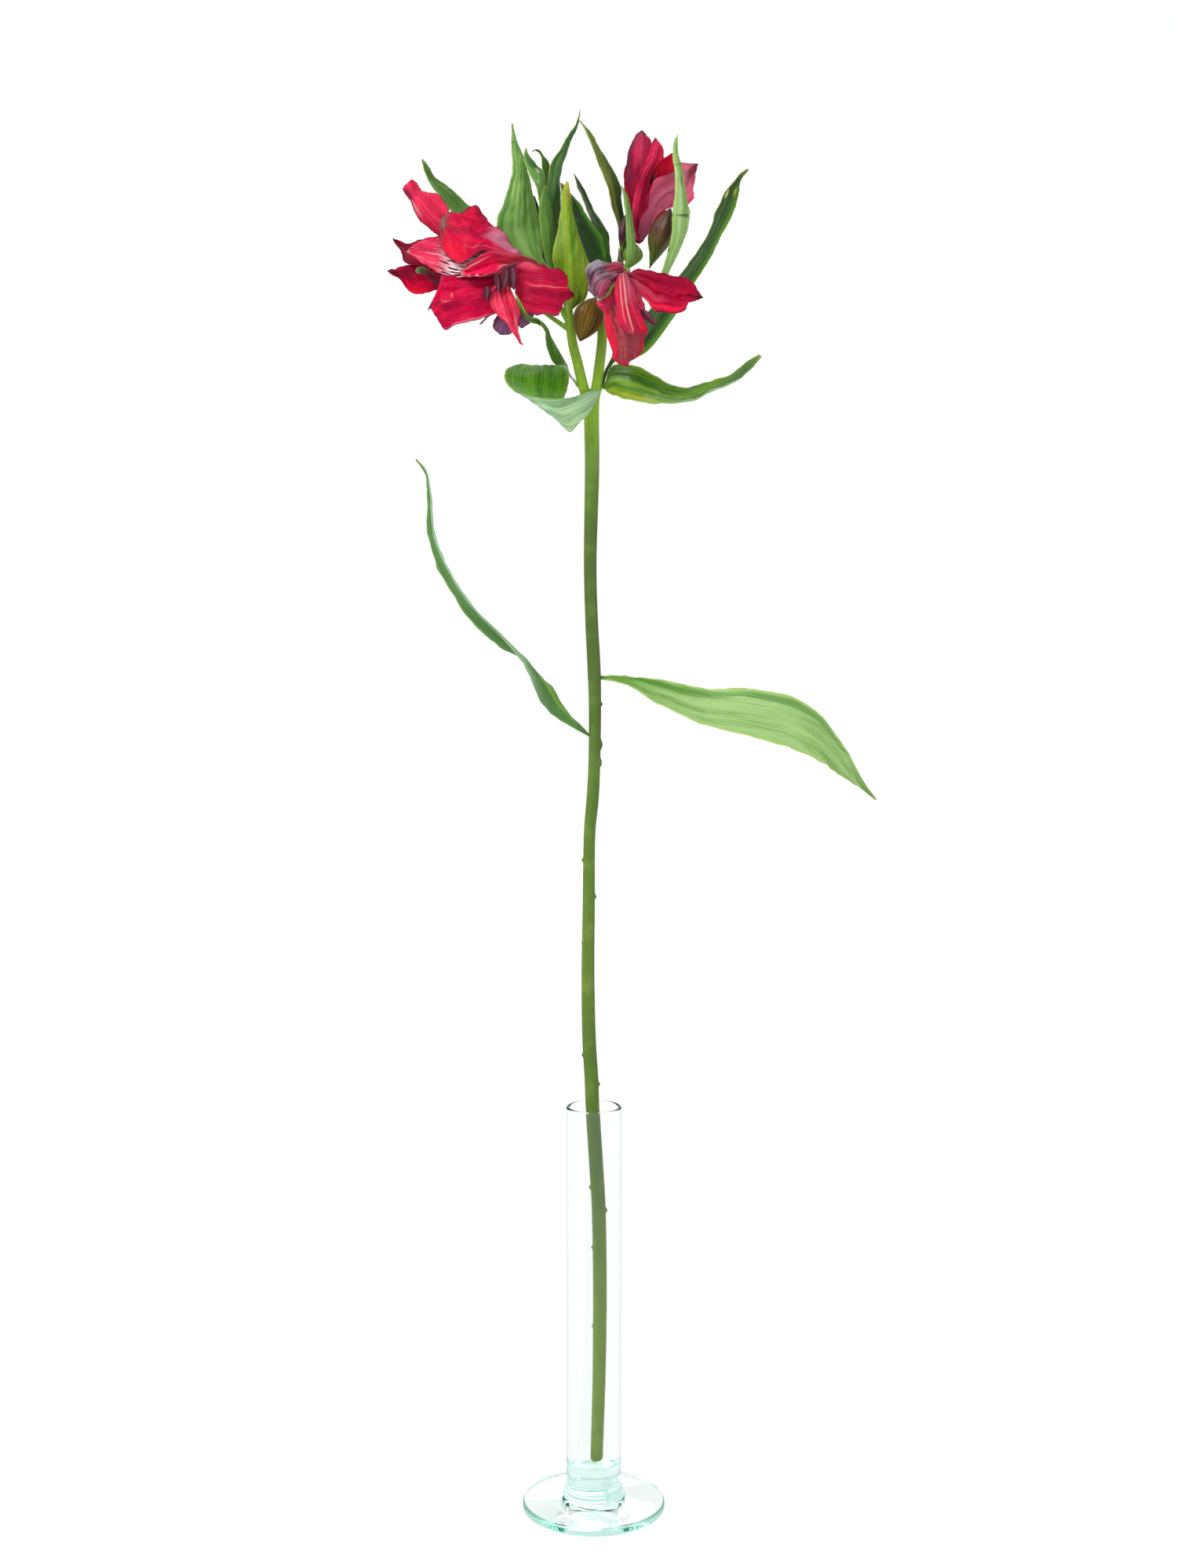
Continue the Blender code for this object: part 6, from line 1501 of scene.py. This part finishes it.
# %% Ovaries: six ribs, green, dull purple where the flower starts
for node, base, tip, radius, fullest in (
        ("ovary_front", (-15.1, -21.9, 504.2), (-18.5, -26.4, 510), 2.6, 0.45),
        ("ovary_right", (12, -19.5, 511.9), (12.1, -24.6, 510.3), 2.4, 0.45),
        ("ovary_top", (13.5, -7, 514.6), (16.9, -5.6, 524.6), 3.8, 0.6),
        ("ovary_left", (-45, -4.6, 515.5), (-51.6, -7.5, 517), 2.4, 0.45),
        ("ovary_under", (-20.4, -14.4, 497.9), (-25.6, -14.4, 499.8), 2.2, 0.45)):
    made = pod(node + "_grown", base, tip, radius, OVARY, 60, 32, 6, 0.08, fullest, 0.8)
    finish_piece(made, node)


# %% Buds: three tepals rolled over one another, each margin standing a little proud
def bud(node, slot, base, tip, radius, skin, **shape):
    """One closed bud."""
    finish_piece(pod(node + "_grown", base, tip, radius, skin, laps=3, **shape), node)


bud("bud_front", "brown_green_bud", (0.2, -27, 501.4), (-5.5, -28, 484.5), 6.0, BUD_OLIVE, sides=96,
    rings=60, point=0.9, lap=0.7, twist=0.25, dent=0.4)
bud("bud_right", "brown_green_bud", (21.7, -13, 513.8), (30, -18, 537), 4.9, BUD_PURPLE, sides=96,
    rings=60, fullest=0.6, lap=0.6, twist=0.2, dent=0.4)
bud("bud_small", "maroon_stamens", (10.6, -3.3, 524), (12.6, -2.5, 537), 1.7, BUD_DARK, rings=40, lap=0.25,
    twist=0.3, dent=0.15)

# %% [markdown]
# ## Stem
# The stem and its stalks grew as one, so the tubes are melted together into one skin. Its colour
# changes with height: yellow green at the fork, duller lower down.

# %% Stem skin
STEM_SHADES = ((0.04, "#6e8e0a"), (0.16, "#6e8f0a"), (0.27, "#4e6e06"), (0.36, "#4a6418"),
               (0.46, "#5a7420"), (0.57, "#4a6a18"), (0.69, "#475a1e"), (0.76, "#465c16"),
               (0.81, "#587816"), (0.845, "#8cba18"), (0.95, "#7ca020"))
SHADED_HEIGHT = 0.54
STEM, tree = new_material("stem skin, waxy with long fibres")
place = add(tree, "ShaderNodeTexCoord").outputs["Object"]
axes = add(tree, "ShaderNodeSeparateXYZ", {0: place})
shades = add(tree, "ShaderNodeValToRGB", {0: remap(tree, axes.outputs["Z"], 0.0, SHADED_HEIGHT)})
stops = shades.color_ramp.elements
for share, colour in STEM_SHADES:
    stops.new(share).color = linear(colour)
stops.remove(stops[0])
stops.remove(stops[-1])
# fibres about 0.4 mm wide and 20 mm long, running up the stem
fibre = cloud(tree, place, detail=3.0, stretch=(2400, 2400, 50))
body = layer(tree, remap(tree, fibre, 0.35, 0.65, 0.0, 0.5), shades.outputs[0], "#3f5c22")
# pale waxy bloom in patches some 8 mm across
wax = cloud(tree, place, 120.0, 4.0)
body = layer(tree, remap(tree, wax, 0.5, 0.7, 0.0, 0.2), body, "#8ca048")
# the stalk of the small bud is flushed purple
SMALL_STALK = (0.0112, -0.007, 0.5175)
blush = add(tree, "ShaderNodeVectorMath", {0: place, 1: SMALL_STALK}, operation="DISTANCE")
flush = remap(tree, blush.outputs["Value"], 0.0045, 0.0075, 0.85, 0.0)
body = layer(tree, flush, body, "#3c1a28")
relief = add(tree, "ShaderNodeBump", {"Height": fibre, "Strength": 0.35, "Distance": 0.15 * MM})
skin = add(tree, "ShaderNodeBsdfPrincipled", {"Base Color": body, "Roughness": 0.4, "IOR": 1.45,
                                              "Subsurface Weight": 0.15, "Subsurface Scale": 0.001,
                                              "Normal": relief.outputs[0]})
add(tree, "ShaderNodeOutputMaterial", {"Surface": skin.outputs[0]})
print("stem skin made")

# %% Stem, rays and stalks
parts = [tube("main", STEM_PATH, STEM_RADII, STEM, 260, 32),
         tube("ray left", RAY_LEFT, RAY_RADII, STEM, 60, 24),
         tube("ray right", RAY_RIGHT, RAY_RADII, STEM, 60, 24)]
for name, path in PEDICELS.items():
    parts.append(tube(name, path, PEDICEL_RADII, STEM, 30, 16))
print("tubes:", len(parts))

# %% Leaf scars and nubs on the stem
heights = [Vector(point) for point in STEM_PATH]
widths = [Vector((radius, 0, 0)) for radius in STEM_RADII]
for height, angle, length in NUBS:
    t = next(step / 400 for step in range(401) if along(heights, step / 400).z >= height)
    out = Vector((math.cos(math.radians(angle)), math.sin(math.radians(angle)), 0))
    middle = along(heights, t) + out * (along(widths, t).x - NUB_DEPTH * 0.3)
    rise = Vector((0, 0, length / 2))
    parts.append(pod("nub", middle - rise, middle + rise + out * 0.5, NUB_DEPTH, STEM, 16, 10, ridge=0))
print("nubs:", len(NUBS))

# %% All melted into one
stem = joined("stem_grown", parts)
melt = stem.modifiers.new("melt", "REMESH")
melt.mode = "VOXEL"
melt.voxel_size = 0.38 * MM
melt.use_smooth_shade = True
ease = stem.modifiers.new("ease", "SMOOTH")
ease.factor = 0.5
ease.iterations = 5
finish_piece(joined("stem_grown", [stem]), "stem")

# %% [markdown]
# ## Vase
# Blown soda lime glass with a faint green in the thick parts. The tube is closed by the solid base.
# Its wall is a little thinner than the solid's, within the same outer sizes, because light bends
# through a thick wall more than it does in the photo.

# %% Glass
GLASS, tree = new_material("clear soda lime glass, fire polished", clear=False)
dress(GLASS, Base_Color=(0.985, 0.995, 0.99, 1), Roughness=0.0, IOR=1.45, Transmission_Weight=1.0)
depth = add(tree, "ShaderNodeVolumeAbsorption", {"Color": (0.3, 0.78, 0.66, 1), "Density": 18.0})
tree.links.new(depth.outputs[0], tree.nodes["Material Output"].inputs["Volume"])
print("glass made")


# %% The vase's profile
def bend(middle, radius, first, last, steps):
    """Places on an arc between two angles in degrees, without its two ends."""
    turns = [math.radians(first + (last - first) * step / steps) for step in range(1, steps)]
    return [(middle[0] + radius * math.cos(turn), middle[1] + radius * math.sin(turn)) for turn in turns]


def smooth(places, steps):
    """Places on a smooth curve through the ones given, the last one too."""
    curve = [Vector((x, 0, z)) for x, z in places]
    return [(place.x, place.z) for place in (along(curve, step / steps) for step in range(steps + 1))]


VASE_HEIGHT, FOOT_RADIUS, FOOT_HEIGHT, TUBE_RADIUS, TUBE_WALL = 173.5, 30.0, 3.6, 11.5, 1.5
FOOT_UNDER, FOOT_OVER, CAVITY_FLOOR, MID_HEIGHT = 1.0, 1.2, 17.9, 90.0
inner, lip = TUBE_RADIUS - TUBE_WALL, TUBE_WALL / 2
lip_foot = VASE_HEIGHT - lip
under = (FOOT_RADIUS - FOOT_UNDER, FOOT_UNDER)
over = (FOOT_RADIUS - FOOT_OVER, FOOT_HEIGHT - FOOT_OVER)
profile = [(0.0, 0.0), (under[0], 0.0)] + bend(under, FOOT_UNDER, -90, 0, 12)
profile += [(FOOT_RADIUS, under[1]), (FOOT_RADIUS, over[1])] + bend(over, FOOT_OVER, 0, 90, 12)
# from the foot's edge up the solid base, which swells a little under the tube
profile += smooth([(over[0], FOOT_HEIGHT), (26.0, 3.75), (22.0, 4.1), (17.0, 4.5), (14.2, 4.95), (13.0, 5.5),
                   (12.4, 6.4), (12.2, 7.4), (12.2, 8.5), (11.9, 9.3), (TUBE_RADIUS, 9.8),
                   (TUBE_RADIUS, 10.6)], 60)
profile += [(TUBE_RADIUS, MID_HEIGHT), (TUBE_RADIUS, lip_foot - 0.2), (TUBE_RADIUS, lip_foot)]
profile += bend((TUBE_RADIUS - lip, lip_foot), lip, 0, 180, 32)
profile += [(inner, lip_foot), (inner, lip_foot - 0.2), (inner, MID_HEIGHT)]
# down to the round bottom of the cavity
profile += smooth([(inner, 23.0), (inner, 22.3), (inner - 0.2, 20.9), (inner - 0.9, 19.5),
                   (inner - 2.2, 18.5), (inner - 4, 18.05), (2.5, CAVITY_FLOOR), (0.0, CAVITY_FLOOR)], 40)
print("places on the profile:", len(profile))

# %% Vase turned from its profile
bm = bmesh.new()
corners = [bm.verts.new((x, 0, z)) for x, z in profile]
line = [bm.edges.new(pair) for pair in zip(corners, corners[1:])]
bmesh.ops.spin(bm, geom=corners + line, axis=(0, 0, 1), cent=(0, 0, 0), angle=math.tau, steps=256,
               use_merge=True)
bmesh.ops.remove_doubles(bm, verts=bm.verts, dist=0.001)
bmesh.ops.recalc_face_normals(bm, faces=bm.faces)
vase = piece("vase_blown", bm, [GLASS])
vase.data.set_sharp_from_angle(angle=math.radians(35))
finish_piece(vase, "glass_vase")
